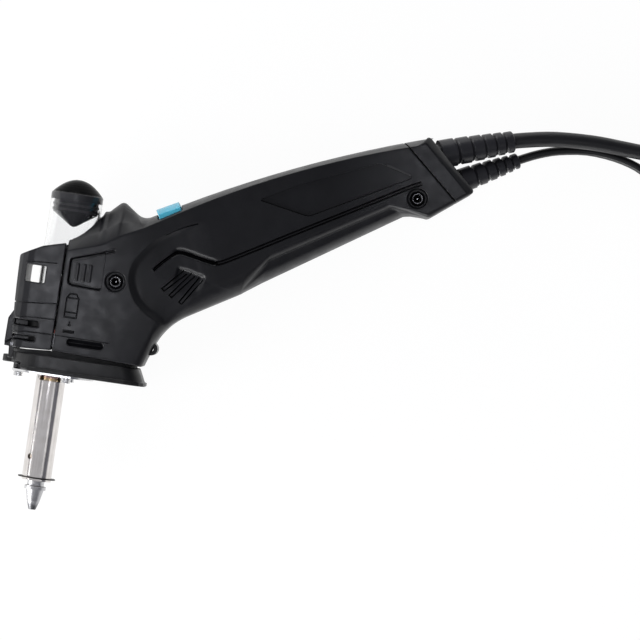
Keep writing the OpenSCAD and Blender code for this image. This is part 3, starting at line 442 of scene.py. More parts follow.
class Finishes:
    """Every finish of the iron, made once and handed out by slot name."""

    def __init__(self) -> None:
        """Make all the materials."""
        black = (0.004, 0.0041, 0.0056)
        black_light = (0.007, 0.0072, 0.0095)
        steel = ((0.66, 0.63, 0.61), (0.80, 0.77, 0.75))
        plain = [
            Moulding("housing", black, black_light, (0.36, 0.48), specular=0.38),
            Moulding("flange", (0.007, 0.007, 0.0075), (0.011, 0.011, 0.0115), (0.34, 0.46), 0.5, 0.006, 14.0, 0.35),
            Metal("black_screws", (0.07, 0.07, 0.072), (0.13, 0.13, 0.135), (0.2, 0.3), Lay.EVEN, 0.5, 0.002),
            Moulding("lug", (0.012, 0.012, 0.013), (0.02, 0.02, 0.021), (0.3, 0.42)),
            Moulding("spacer", (0.006, 0.006, 0.006), (0.01, 0.01, 0.01), (0.6, 0.75)),
            Moulding("relief", (0.024, 0.024, 0.0275), (0.034, 0.034, 0.039), (0.3, 0.42), 0.3, 0.006),
            ShadePaintedCap("cap"),
            Moulding("seals", (0.03, 0.03, 0.032), (0.045, 0.045, 0.048), (0.4, 0.5)),
            Moulding("button", (0.08, 0.58, 0.82), (0.12, 0.66, 0.88), (0.25, 0.38), 0.4, 0.006),
            Moulding("hose", (0.011, 0.011, 0.0125), (0.017, 0.017, 0.019), (0.34, 0.46), 0.5, 0.006),
            Moulding("lead", (0.009, 0.009, 0.010), (0.014, 0.014, 0.015), (0.3, 0.42), 0.4, 0.006),
            Moulding("plug", (0.01, 0.01, 0.011), (0.017, 0.017, 0.018), (0.38, 0.5)),
            Moulding("red_seal", (0.38, 0.06, 0.035), (0.5, 0.09, 0.05), (0.4, 0.5)),
            Moulding("clear_hose", (0.6, 0.6, 0.56), (0.72, 0.72, 0.68), (0.3, 0.45)),
            Moulding("switch", (0.01, 0.01, 0.01), (0.016, 0.016, 0.016), (0.4, 0.5)),
            Moulding("board", (0.02, 0.16, 0.06), (0.03, 0.22, 0.09), (0.2, 0.35), 0.8, 0.02, 2.0),
            Moulding("connector", (0.7, 0.68, 0.58), (0.8, 0.78, 0.68), (0.4, 0.5)),
            Moulding("wire", (0.45, 0.04, 0.03), (0.6, 0.06, 0.04), (0.35, 0.5)),
            Moulding("inner_sheath", (0.02, 0.02, 0.021), (0.03, 0.03, 0.032), (0.4, 0.5)),
            Moulding("clamp", (0.015, 0.015, 0.016), (0.02, 0.02, 0.021), (0.4, 0.5)),
            Moulding("ceramic", (0.78, 0.76, 0.68), (0.86, 0.84, 0.77), (0.3, 0.45), 0.5, 0.01),
            Metal("shield", (0.62, 0.62, 0.63), (0.8, 0.8, 0.8), (0.16, 0.3)),
            Metal("screws", (0.6, 0.6, 0.6), (0.76, 0.76, 0.76), (0.18, 0.3)),
            Metal("barrel", *steel, (0.14, 0.24), Lay.LENGTHWISE, 0.8, 0.0008),
            # painted shade: the washer is coloured near-black to stand for the shade it lies in, seen edge-on
            Metal("washer", (0.02, 0.019, 0.018), (0.05, 0.046, 0.043), (0.4, 0.55)),
            Metal("core", (0.26, 0.22, 0.19), (0.46, 0.4, 0.35), (0.3, 0.45)),
            Metal("pipe", (0.55, 0.55, 0.56), (0.7, 0.7, 0.7), (0.2, 0.32), Lay.LENGTHWISE),
            # painted shade: the seal seat is coloured near-black so that it stays dark in the gap under the door
            Metal("seat", (0.05, 0.05, 0.052), (0.09, 0.09, 0.092), (0.3, 0.42), Lay.ROUND),
            Metal("brass", (0.58, 0.42, 0.17), (0.76, 0.58, 0.28), (0.2, 0.34), Lay.ROUND),
            Cloth("felt", (0.7, 0.68, 0.6), (0.85, 0.83, 0.76)),
            Cloth("tie", (0.008, 0.008, 0.008), (0.022, 0.022, 0.023)),
            ClearGlass("glass"),
            TintedMetal("collar", ((0.0, (0.55, 0.5, 0.42)), (0.35, (0.5, 0.36, 0.2)), (0.7, (0.3, 0.2, 0.2)),
                                   (1.0, (0.42, 0.36, 0.3))), -0.0084, -0.0054),
            TintedMetal("tip", ((0.0, (0.12, 0.12, 0.125)), (0.16, (0.2, 0.2, 0.21)), (0.26, (0.5, 0.5, 0.51)),
                                (1.0, (0.62, 0.62, 0.63))), -0.0665, -0.0535, (0.34, 0.48)),
        ]
        self.by_slot = {finish.name: finish.make() for finish in plain}

    def dress(self, thing: Piece, slot: str) -> None:
        """Give a piece the finish of a material slot, all over."""
        thing.data.materials.clear()
        thing.data.materials.append(self.by_slot[slot])


# ---- meshes


def put(name: str, data: bpy.types.ID) -> Piece:
    """Put a new object round its data into the scene.

    Args:
        name: The object's name.
        data: Its mesh, curve, camera or light.

    Returns:
        The object, at the origin.
    """
    thing = bpy.data.objects.new(name, data)
    bpy.context.scene.collection.objects.link(thing)
    return thing


def from_bmesh(name: str, mesh: bmesh.types.BMesh) -> Piece:
    """Turn a bmesh into a piece.

    Args:
        name: The piece's name.
        mesh: Its shape, which is freed.

    Returns:
        The piece.
    """
    data = bpy.data.meshes.new(name)
    mesh.to_mesh(data)
    mesh.free()
    return put(name, data)


def outward(name: str, mesh: bmesh.types.BMesh) -> Piece:
    """Turn a bmesh into a piece whose faces look outward."""
    bmesh.ops.recalc_face_normals(mesh, faces=mesh.faces)
    return from_bmesh(name, mesh)


def close_skin(mesh: bmesh.types.BMesh, rings: Sequence[Sequence[Vector]]) -> None:
    """Close a skin over rings of equal count.

    Args:
        mesh: The bmesh to add to.
        rings: The places of each ring's points.
    """
    loops = [[mesh.verts.new(place) for place in ring] for ring in rings]
    count = len(loops[0])
    for low, high in zip(loops, loops[1:]):
        for i in range(count):
            j = (i + 1) % count
            mesh.faces.new((low[i], low[j], high[j], high[i]))
    mesh.faces.new(loops[0][::-1])
    mesh.faces.new(loops[-1])


def skinned(name: str, *skins: Sequence[Sequence[Vector]]) -> Piece:
    """Give a piece with one or more closed skins.

    Args:
        name: The piece's name.
        *skins: The rings of each skin, as for close_skin.

    Returns:
        The piece.
    """
    mesh = bmesh.new()
    for rings in skins:
        close_skin(mesh, rings)
    return outward(name, mesh)


def ring_solid(name: str, rings: Sequence[np.ndarray]) -> Piece:
    """Give a solid through rings given in rows of x, y and z, in millimetres on the barrel's axes."""
    return skinned(name, [[at(*point) for point in ring] for ring in rings])


def apply_modifiers(thing: Piece) -> None:
    """Bake a piece's modifiers into its mesh.

    Args:
        thing: The piece.
    """
    graph = bpy.context.evaluated_depsgraph_get()
    baked = bpy.data.meshes.new_from_object(thing.evaluated_get(graph))
    thing.modifiers.clear()
    old = thing.data
    thing.data = baked
    bpy.data.meshes.remove(old)


def merged_copy(node: Piece, name: str) -> Piece:
    """Copy a CAD node with its doubles merged.

    Args:
        node: The CAD node.
        name: Name of the copy.

    Returns:
        The copy.
    """
    mesh = bmesh.new()
    mesh.from_mesh(node.data)
    bmesh.ops.remove_doubles(mesh, verts=mesh.verts, dist=1e-6)
    return from_bmesh(name, mesh)


def combine(thing: Piece, tools: Sequence[Piece], kind: str = "DIFFERENCE") -> Piece:
    """Cut tools out of a piece, or join or intersect them with it, and drop the tools.

    Args:
        thing: The piece, which is changed.
        tools: The tools.
        kind: The boolean operation.

    Returns:
        The same piece.
    """
    for tool in tools:
        cut = thing.modifiers.new("cut", "BOOLEAN")
        cut.operation = kind
        cut.solver = "MANIFOLD"
        cut.object = tool
    apply_modifiers(thing)
    for tool in tools:
        data = tool.data
        bpy.data.objects.remove(tool)
        bpy.data.meshes.remove(data)
    return thing


def refine(thing: Piece, voxel_mm: float) -> None:
    """Remesh a piece evenly, with cells of this width.

    Args:
        thing: The piece.
        voxel_mm: Width of a cell in millimetres.
    """
    remesh = thing.modifiers.new("even", "REMESH")
    remesh.mode = "VOXEL"
    remesh.voxel_size = voxel_mm * MM * 1.0
    apply_modifiers(thing)


def relax(thing: Piece, rounds: int, keep: float) -> None:
    """Round a fine mesh's edges a little and thin it where it is flat.

    Args:
        thing: The piece.
        rounds: Rounds of smoothing.
        keep: Share of the triangles that stays.
    """
    calm = thing.modifiers.new("calm", "SMOOTH")
    calm.factor = 0.5
    calm.iterations = rounds
    thin = thing.modifiers.new("thin", "DECIMATE")
    thin.ratio = keep
    apply_modifiers(thing)
    LOG.info("%s: %d faces", thing.name, len(thing.data.polygons))


def finish_piece(thing: Piece, finishes: Finishes, body: str, slot: str, angle: float | None, *nodes: str) -> None:
    """Dress a new piece and let it stand for CAD nodes.

    Args:
        thing: The piece.
        finishes: The iron's finishes.
        body: The body that it rides on.
        slot: Its material slot.
        angle: Edges of a mesh sharper than this stay sharp, in degrees; None leaves the shading alone.
        *nodes: The CAD nodes that it replaces.
    """
    if angle is not None:
        thing.data.shade_smooth()
        thing.data.set_sharp_from_angle(angle=math.radians(angle))
    finishes.dress(thing, slot)
    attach(thing, body)
    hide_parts(*nodes)


# ---- outlines


def rounded(corners: Sequence[Point]) -> np.ndarray:
    """Draw a closed outline with rounded corners.

    Args:
        corners: Each corner's two coordinates and its radius, in millimetres.

    Returns:
        The outline's points, ROUND_STEPS + 1 per corner.
    """
    places = np.array([corner[:2] for corner in corners])
    out = []
    for i, (*_, radius) in enumerate(corners):
        here = places[i]
        back, ahead = places[i - 1] - here, places[(i + 1) % len(places)] - here
        back, ahead = back / np.linalg.norm(back), ahead / np.linalg.norm(ahead)
        half_angle = math.acos(float(np.clip(back @ ahead, -1.0, 1.0))) / 2
        between = (back + ahead) / np.linalg.norm(back + ahead)
        centre = here + between * radius / math.sin(half_angle)
        arm = here + back * radius / math.tan(half_angle) - centre
        sweep = -math.copysign(math.pi - 2 * half_angle, back[0] * ahead[1] - back[1] * ahead[0])
        for k in range(ROUND_STEPS + 1):
            c, s = math.cos(sweep * k / ROUND_STEPS), math.sin(sweep * k / ROUND_STEPS)
            out.append(centre + (arm[0] * c - arm[1] * s, arm[0] * s + arm[1] * c))
    return np.array(out)


def stacked(*levels: tuple[np.ndarray, float | np.ndarray]) -> Piece:
    """Give a tool through outlines of x and y, each level at its own height z, or at one for each point."""
    return ring_solid("tool", [np.column_stack((flat, np.broadcast_to(z, len(flat)))) for flat, z in levels])


def lifted(*levels: tuple[np.ndarray, float]) -> Piece:
    """Give a tool through outlines of x and z, each level at its own y up the barrel."""
    rings = [np.column_stack((plan[:, 0], np.full(len(plan), y), plan[:, 1])) for plan, y in levels]
    return ring_solid("tool", rings)


def prism(points: np.ndarray, low: float, high: float) -> Piece:
    """Give a prism along z over an outline, from low to high."""
    return stacked((points, low), (points, high))


def disc(x: float, y: float, radius: float, steps: int = 48) -> np.ndarray:
    """Give a circle's outline."""
    turn = np.linspace(0.0, 2 * math.pi, steps, endpoint=False)
    return np.column_stack((x + radius * np.cos(turn), y + radius * np.sin(turn)))


def rod_along_barrel(radius: float, low: float, high: float, x: float = 0.0, z: float = 0.0) -> Piece:
    """Give a rod parallel to the barrel's axis, from low to high."""
    ring = disc(x, z, radius, 96)
    return lifted((ring, low), (ring, high))


def rod_across(radius: float, y: float, z: float) -> Piece:
    """Give a rod square to the barrel, out of the solder tube's room into the handle."""
    ring = disc(y, z, radius, 32)
    return ring_solid("tool", [np.column_stack((np.full(len(ring), x), ring)) for x in (10.2, 18.2)])


def handle_box(u: float, v: float, length: float, height: float) -> np.ndarray:
    """Give the outline of a box in the handle's axes, from its lower corner."""
    return on_handle((u, v), (u + length, v), (u + length, v + height), (u, v + height))


def rise(value: float | np.ndarray) -> float | np.ndarray:
    """Ease from 0 to 1, flat at both ends."""
    share = np.clip(value, 0.0, 1.0)
    return share * share * (3.0 - 2.0 * share)


def from_line(places: np.ndarray, line: np.ndarray) -> tuple[np.ndarray, np.ndarray]:
    """Measure places against a line.

    Args:
        places: The places, one per row.
        line: The line's points, one per row.

    Returns:
        For each place its distance, positive on the line's left, and the share of the line passed.
    """
    best = np.full(len(places), 1e9)
    sign = np.ones(len(places))
    share = np.zeros(len(places))
    for k, (a, b) in enumerate(zip(line, line[1:])):
        along = b - a
        rel = places - a
        t = np.clip(rel @ along / (along @ along), 0.0, 1.0)
        gap = np.linalg.norm(rel - t[:, None] * along, axis=1)
        near = gap < best - 1e-9
        best[near] = gap[near]
        sign[near] = np.sign(along[0] * rel[near, 1] - along[1] * rel[near, 0])
        share[near] = (k + t[near]) / (len(line) - 1)
    return best * np.where(sign == 0, 1.0, sign), share


def bent(points: Sequence[Flat], steps: int = 8) -> np.ndarray:
    """Run a smooth curve through flat points."""
    return np.array([p.to_2d()[:] for p in eased([Vector((*p, 0.0)) for p in points], steps)])


def beside(line: np.ndarray, shift: float) -> np.ndarray:
    """Give an open line moved to its left by a distance.

    Args:
        line: The line's points, one per row.
        shift: The distance.

    Returns:
        The moved line.
    """
    ways = np.diff(line, axis=0)
    ways /= np.linalg.norm(ways, axis=1)[:, None]
    sides = np.column_stack((-ways[:, 1], ways[:, 0]))
    out = [sides[0]]
    for a, b in zip(sides, sides[1:]):
        out.append((a + b) / (1.0 + a @ b))
    out.append(sides[-1])
    return line + np.array(out) * shift


def ribbon(line: np.ndarray, width: float) -> np.ndarray:
    """Give the outline of a stroke of even width along an open line."""
    return np.vstack((beside(line, width / 2), beside(line, -width / 2)[::-1]))


def block(x: Flat, y: Flat, z: Flat) -> Piece:
    """Give a box by its extents."""
    return prism(np.array(((x[0], y[0]), (x[1], y[0]), (x[1], y[1]), (x[0], y[1]))), *z)


# ---- the housing


class Run(Enum):
    """How the skin runs from the mid plane to the flat side."""

    CROWN = "crown"
    EDGE = "edge"
    SCOOP = "scoop"

    def share(self, width: float, t: float) -> float:
        """Give the share of the way from the mid outline to the side outline.

        Args:
            width: Share of the half width that the edge or scoop takes.
            t: Share of the half width, 0 at the mid plane.

        Returns:
            The share, 0 to 1.
        """
        if self is Run.CROWN:
            return t * t
        s = max(0.0, (t - 1.0 + width) / width)
        if self is Run.EDGE:
            return 1.0 - math.sqrt(1.0 - s * s)
        low = 0.5 * (1.0 - math.sqrt(1.0 - min(1.0, t / 0.7) ** 2))
        floor = 0.2 * min(1.0, max(0.0, (t - 0.7) / 0.06))
        wall = 0.3 * (1.0 - math.sqrt(1.0 - max(0.0, (t - 0.76) / 0.24) ** 2))
        return low + floor + wall


@dataclass(frozen=True)
class Corner:
    """One corner of the housing, on the mid plane and on the flat side, each as x, y and radius."""

    mid: Point
    side: Point
    run: Run = Run.CROWN
    width: float = 1.0
    slanted: bool = False

    def placed(self, end: str) -> Point:
        """Give the corner on the mid plane or the side, on the barrel's axes, as x, y and radius."""
        a, b, radius = getattr(self, end)
        return (*HANDLE.flat(a, b), radius) if self.slanted else (a, b, radius)


CORNERS = (
    Corner((0.0, 11.2, 0.3), (0.0, 11.6, 0.3), Run.EDGE, 0.08),
    Corner((40.2, 9.5, 1), (36.0, 10.3, 1), Run.EDGE, 0.3),
    Corner((47.5, 29.4, 30), (46.0, 39.0, 26), Run.EDGE, 0.5),
    Corner((24.2, -22.8, 1), (30.5, -14.5, 3), Run.EDGE, 0.6, True),
    Corner((34.9, -21.4, 2), (45.0, -9.3, 8), Run.SCOOP, 0.5, True),
    Corner((HL - 24, -14.7, 3), (HL - 29.5, -6.9, 5), Run.SCOOP, 0.5, True),
    Corner((HL - 21, -15.6, 3), (HL - 22, -11.8, 3), Run.SCOOP, 0.4, True),
    Corner((HL - 13.5, -19.4, 3), (HL - 13.8, -17.2, 3), Run.EDGE, 0.2, True),
    Corner((HL + 9.6, -15.3, 1.5), (HL + 8.4, -13.9, 1.5), Run.EDGE, 0.12, True),
    Corner((HL - 0.9, 14.5, 2.0), (HL - 3.8, 11.8, 2), Run.EDGE, 0.2, True),
    Corner((67.4, 25.8, 590), (65.1, 23.5, 441), slanted=True),
    Corner((-5.5, 23.2, 6), (-6.5, 19.2, 6), slanted=True),
    Corner((21.2, 82.2, 2.5), (21.7, 65.4, 3)),
    Corner((15.5, 76.6, 0.8), (16.4, 62.0, 0.8)),
    Corner((13.6, 76.3, 0.8), (14.9, 61.1, 0.8)),
    Corner((12.7, 74.1, 0.5), (12.9, 60.2, 0.5)),
    Corner((0.0, 66.8, 0.5), (0.0, 56.2, 0.5)),
)


@dataclass
class SideRelief:
    """What is pressed into the flat side: the grip's hollow, grooves, the panel and small marks."""

    grip_edge: np.ndarray = field(default_factory=lambda: bent((
        (60.5, 78.4), (55.3, 76.6), (49.9, 74.3), (43.2, 70.4), (36.2, 64.4), (29.9, 55.1), (29.1, 47.2),
        (32.0, 39.8), (36.9, 34.8), (42.4, 31.6), (50.0, 27.5))))
    groove: np.ndarray = field(default_factory=lambda: bent((
        (39.3, 53.1), (41.2, 55.5), (44.8, 59.2), (47.6, 61.7), (49.6, 62.7), (52.7, 62.5), (59.1, 61.2),
        (63.4, 60.4), (66.5, 60.2), (69.6, 61.2), (75.4, 64.4), (85.0, 70.0), (106.0, 82.3), (123.9, 92.6),
        (145.8, 105.4), (152.2, 108.6)), 4))
    fingers: tuple[tuple[Flat, Flat], ...] = (((54.3, 55.1), (44.8, 45.1)), ((57.9, 54.6), (48.5, 42.7)),
                                              ((61.6, 53.4), (53.3, 40.3)))
    lip: tuple[Flat, ...] = ((49.4, 57.0), (55.7, 56.2), (63.6, 54.2))
    panel: np.ndarray = field(default_factory=lambda: rounded(slanted(
        (46.3, 13.9, 0.6), (64.6, -0.6, 5), (HL - 13.9, -0.1, 0.8), (HL - 26, 11.0, 4), (65.7, 14.1, 3))))
    tube_sign: tuple[tuple[Flat, ...], ...] = (
        ((3.0, 26.9), (3.0, 35.5), (4.3, 37.5), (7.2, 37.5), (8.4, 35.5), (8.4, 26.9)),
        ((2.7, 26.9), (8.7, 26.9)), ((3.2, 29.2), (8.2, 29.2)), ((3.6, 35.6), (7.8, 35.6)),
        ((5.7, 25.2), (5.7, 22.9)), ((4.9, 23.6), (6.5, 23.6)),
        ((3.2, 20.9), (8.4, 20.9)), ((3.2, 20.2), (8.4, 20.2)))
    deepest: float = 4.4
    grip_depth: float = 2.7
    rim: float = 2.8
    clear: float = 1.0

    def depth(self, places: np.ndarray) -> np.ndarray:
        """Give how deep the side lies below its flat at some places.

        Args:
            places: Rows of x and y in millimetres.

        Returns:
            The depths in millimetres.
        """
        x = places[:, 0]
        head = 1.0 - rise((x - 28.0) / 30.0)
        gap, share = from_line(places, self.grip_edge)
        fade = rise(share / 0.4) * rise((1.03 - share) / 0.12)
        hollow = head + (self.grip_depth - head) * (1.0 - (1.0 - np.clip(gap / self.rim, 0.0, 1.0)) ** 1.5)
        hollow = np.where(gap < self.rim, hollow, self.grip_depth * (1.0 - rise((gap - self.rim) / 40.0)))
        deep = np.where(gap < 0.0, head, head * (1.0 - fade) * (1.0 - rise(gap / 8.0)) + fade * hollow)
        return np.minimum(deep + self.slopes(places), self.deepest)

    def slopes(self, places: np.ndarray) -> np.ndarray:
        """Give the depth of the slope over the long groove, of the panel's end and of the step under the lip.

        Args:
            places: Rows of x and y in millimetres.

        Returns:
            The depths in millimetres.
        """
        gap, _ = from_line(places, self.groove)
        lean = rise((places[:, 0] - 45.0) / 4.0) * rise((69.0 - places[:, 0]) / 4.0)
        deep = 1.3 * lean * np.where(gap > 0.0, 1.0 - np.clip((gap - 0.8) / 1.5, 0.0, 1.0), rise((gap + 0.9) / 0.3))
        end, along = from_line(places, on_handle((HL - 15.5, 0.4), (HL - 24.5, 8.8)))
        outer = np.where(end < 0.0, 1.0 - np.clip((-end - 0.5) / 1.0, 0.0, 1.0), 0.0)
        deep += 0.7 * outer * rise(along / 0.05) * rise((1.0 - along) / 0.05)
        step, share = from_line(places, np.array(self.lip))
        under = rise(-step / 1.9) * (1.0 - rise((-step - 1.9) / 11.0))
        return deep + 1.6 * under * rise(share / 0.15) * rise((1.0 - share) / 0.15)

    def engrave(self, outline: np.ndarray, deep: float) -> Piece:
        """Give a tool that sinks an outline into the side by deep millimetres, along its surface."""
        floor = HALF - self.depth(outline) - deep
        return stacked((outline, floor), (outline, HALF + self.clear))

    def score(self, line: np.ndarray, width: float, deep: float) -> Piece:
        """Give a tool for a stroke with a sharp floor, which stays dark under any light.

        Args:
            line: The middle of the stroke, from the side.
            width: Its width at the surface, in millimetres.
            deep: How deep it goes, in millimetres.

        Returns:
            The tool.
        """
        floor, edge = ribbon(line, 0.1), ribbon(line, width)
        return stacked((floor, HALF - self.depth(floor) - deep), (edge, HALF - self.depth(edge)),
                       (edge, HALF + self.clear))

    def tools(self) -> list[Piece]:
        """Give the tools for the grooves, scored or with a flat floor, the panel and the tube's sign.

        Returns:
            The tools, in the order in which they cut.
        """
        band = self.groove[32:]
        out = [self.score(self.groove[:34], 1.6, 2.6), self.engrave(self.panel, 0.8),
               self.score(self.panel[6:33], 0.6, 1.4), self.engrave(ribbon(band, 2.1), 0.5),
               self.engrave(ribbon(beside(self.grip_edge[7:26], 0.5), 0.6), 0.6),
               *[self.score(beside(band, shift), 1.0, 1.9) for shift in (0.62, -0.62)],
               self.score(np.array(((0.2, 18.2), (24.5, 18.0))), 0.5, 0.6)]
        for start, end in np.array(self.fingers):
            way = (end - start) / math.hypot(*(end - start))
            across = np.array((-way[1], way[0]))
            top = start + way * 1.1
            line = np.array((top + across, end + across * 0.75, end - across * 0.75, top - across))
            out.append(self.score(line, 0.7, 1.0))
        return out + [self.score(np.array(stroke), 0.75, 1.0) for stroke in self.tube_sign]


@dataclass
class Shell:
    """The moulded housing: two halves and the cap over the cords' end."""

    finishes: Finishes
    relief: SideRelief = field(default_factory=SideRelief)
    head_half: float = 16.0
    over: float = 25.0
    press_foot: float = 12.9
    voxel_mm: float = 0.3
    keep: float = 0.3

    def rings(self, full: bool) -> list[np.ndarray]:
        """Draw the skin's rings.

        Args:
            full: From side to side, or only from the mid plane to the viewer's side.

        Returns:
            The rings' points.
        """
        mid = rounded([c.placed("mid") for c in CORNERS])
        side = rounded([c.placed("side") for c in CORNERS])
        laws = [CORNERS[i // (ROUND_STEPS + 1)] for i in range(len(mid))]
        levels = [0.0, 0.15, 0.3, 0.4, *(1.0 - (1.0 - k / 30) ** 2 * 0.6 for k in range(1, 31))]
        if full:
            levels = [-t for t in levels[:0:-1]] + levels
        out = []
        for t in levels:
            share = np.array([law.run.share(law.width, min(1.0, abs(t))) for law in laws])
            flat = mid + (side - mid) * share[:, None]
            out.append(np.column_stack((flat, np.full(len(flat), t * HALF))))
        return out

    def latch_outline(self, gap: float) -> np.ndarray:
        """Draw a latch tongue from the side, wider by gap.

        Args:
            gap: The gap round it, in millimetres.

        Returns:
            The outline.
        """
        root = 17.2
        return rounded([(3.3 - gap, 42.4 - gap, 2.5), (root, 41.8 - gap, 0.3), (root, 57 + gap, 0.3),
                        (3.3 - gap, 51.9 + gap, 1.5)])

    def cavity(self) -> Piece:
        """Give the room inside one half, with the screws' posts left standing.

        Returns:
            The tool.
        """
        room = prism(rounded([
            (16, 13.2, 1.5), (35, 13.1, 1.5), (41, 34, 20),
            *slanted((24, -13, 3), (40, -5, 3), (HL - 24, -4, 1), (HL - 0.3, -12, 1), (HL - 5.4, 11.1, 1),
                     (60, 16.5, 60), (-2, 16.5, 4)), (16, 56, 2)]), -1, HALF - 4)
        grip = block((28, 66), (36, 68), (9.8, HALF))
        posts = [prism(disc(*s, 4.0), -2, HALF) for s in SCREW_SPOTS]
        floor = block((10, 23), (39, 60), (self.head_half - 4.6, HALF))
        return combine(room, [*posts, floor, grip])

    def half(self, name: str) -> Piece:
        """Mould one half, on the viewer's side.

        Args:
            name: The piece's name.

        Returns:
            The half, before its relief is pressed in.
        """
        piece = ring_solid(name, self.rings(False))
        slot = rounded([(5.8, 14.4, 1.55), (22.2, 14.4, 1.55), (22.2, 17.6, 1.55), (5.8, 17.6, 1.55)])
        arm = np.array(((16.4, 56.9), (21.4, 58.6), (21.4, 59.8), (16.4, 58.1)))
        head, over = self.head_half, self.over
        button_u, button_v, button_length = 7, 25.7, 10.5
        tools = [
            prism(self.rear_block(-0.35), -5, over),  # the end cap's place
            rod_along_barrel(12.2, 12.6, 103),  # the solder tube's trough
            rod_along_barrel(5.2, -5, 13),  # the way up from the barrel
            self.cavity(),
            prism(self.latch_outline(1.2), head - 3.6, over),  # the latch's pocket, its upper groove and its pin
            prism(arm, head - 0.6, over),
            rod_along_barrel(1.0, 41.5, 57.5, 17.4, head - 1.4),
            stacked((slot * (1, 0.1) + (0, 14.4), head - 2.8), (slot, head - 0.6), (slot, over)),
            prism(disc(42.9, 18.2, 3.0), -1, 8),  # the lug's seat
            prism(handle_box(button_u - button_length / 2 - 0.675, button_v - 7.0, button_length + 0.975, 14),
                  -1, 14.3),  # the button's window
            prism(handle_box(5.35, 10, 3.3, 14), -1, 1.65),  # the way of the button's post
            rod_across(1.9, 15.8, 0.0),  # the ways of the nipple and of the heater's wires
            rod_across(1.0, 14.2, 3.0)]
        for spot in SCREW_SPOTS:
            tools += [prism(disc(*spot, radius), low, over)
                      for radius, low in ((1.6, -1), (3.1, HALF - 4.2), (4.6, HALF - 3.4))]
        return combine(piece, tools)

    @staticmethod
    def rear_block(shift: float) -> np.ndarray:
        """Give the outline of everything behind the cap's parting line.

        Args:
            shift: How far past the line it starts, in millimetres.

        Returns:
            The outline.
        """
        lean = math.radians(20.8)
        c, s = math.cos(lean), math.sin(lean)
        return on_handle(*[(HL - 13 + shift + a * c - b * s, 18 + a * s + b * c)
                           for a, b in ((0, -60), (80, -60), (80, 30), (0, 30))])

    @staticmethod
    def rear_bevel(places: np.ndarray) -> np.ndarray:
        """Give the depth of the slope along the cap's rear edge."""
        gap, _ = from_line(places, on_handle((HL + 9.6, -15.3), (HL - 0.9, 14.5)))
        return 2.2 * np.clip((3.4 - gap) / 3.4, 0.0, 1.0)

    def press(self, thing: Piece, depth: Callable[[np.ndarray], np.ndarray], sides: int = 1) -> None:
        """Press a relief into the flat side of a piece.

        Args:
            thing: The piece, finely meshed.
            depth: Gives the depth below the flat, in millimetres, at rows of x and y.
            sides: 1 for the viewer's side only, 2 for both.
        """
        places = np.empty(len(thing.data.vertices) * 3)
        thing.data.vertices.foreach_get("co", places)
        places = places.reshape(-1, 3)
        height = places[:, 2] / MM - HALF
        for way in (1.0, -1.0)[:sides]:
            level = np.clip((height * way - self.press_foot) / (HALF - self.press_foot), 0.0, 1.0)
            high = level > 0.0
            flat = np.column_stack((places[high, 0] / MM, places[high, 1] / MM + LYING_Y))
            places[high, 2] -= way * MM * depth(flat) * level[high]
        thing.data.vertices.foreach_set("co", places.ravel())
        thing.data.update()

    @staticmethod
    def ribs(right: Piece) -> None:
        """Stand the two ribs that carry the circuit board in the right half.

        Args:
            right: The right half, which is changed.
        """
        mesh = bmesh.new()
        mesh.from_mesh(right.data)
        for u in (22.0, HL - 44.6):
            close_skin(mesh, [[at(x, y, z) for x, y in handle_box(u, -1, 2, 12)] for z in (-13.5, -4.0)])
        mesh.to_mesh(right.data)
        mesh.free()

    def build(self) -> None:
        """Mould both halves and the end cap."""
        left = self.half("left_shell")
        refine(left, self.voxel_mm)
        self.press(left, self.relief.depth)
        relax(left, 5, self.keep)
        for tool in self.relief.tools():
            combine(left, [tool])
        right = put("right_shell", left.data.copy())
        flip = Matrix.Translation((0, 0, 2 * HALF * MM)) @ Matrix.Scale(-1, 4, (0, 0, 1))
        right.data.transform(flip)
        right.data.flip_normals()
        self.ribs(right)
        cap = ring_solid("rear_cap", self.rings(True))
        combine(cap, [prism(self.rear_block(0.0), -self.over, self.over)], "INTERSECT")
        combine(cap, [HOSE_AXIS.rod(4.65, -14, 16), HOSE_AXIS.rod(6.5, 0, 16),
                      LEAD_AXIS.rod(3.65, -16, 14), LEAD_AXIS.rod(5.5, 0, 14)])
        refine(cap, self.voxel_mm)
        self.press(cap, self.rear_bevel, 2)
        relax(cap, 2, self.keep)
        tongue = on_handle(*[(HL - 13 + a * 0.935 - b * 0.355, 18 + a * 0.355 + b * 0.935)
                             for a, b in ((-0.7, -36.6), (0.5, -36.6), (0.5, -2.6), (-0.7, -2.6))])
        combine(cap, [prism(tongue, -0.6, 0.6)], "UNION")
        for thing, node in ((left, "housing_left"), (right, "housing_right"), (cap, "end_cap")):
            finish_piece(thing, self.finishes, "iron", "housing", MOULDED_EDGE, node)


# ---- smaller pieces


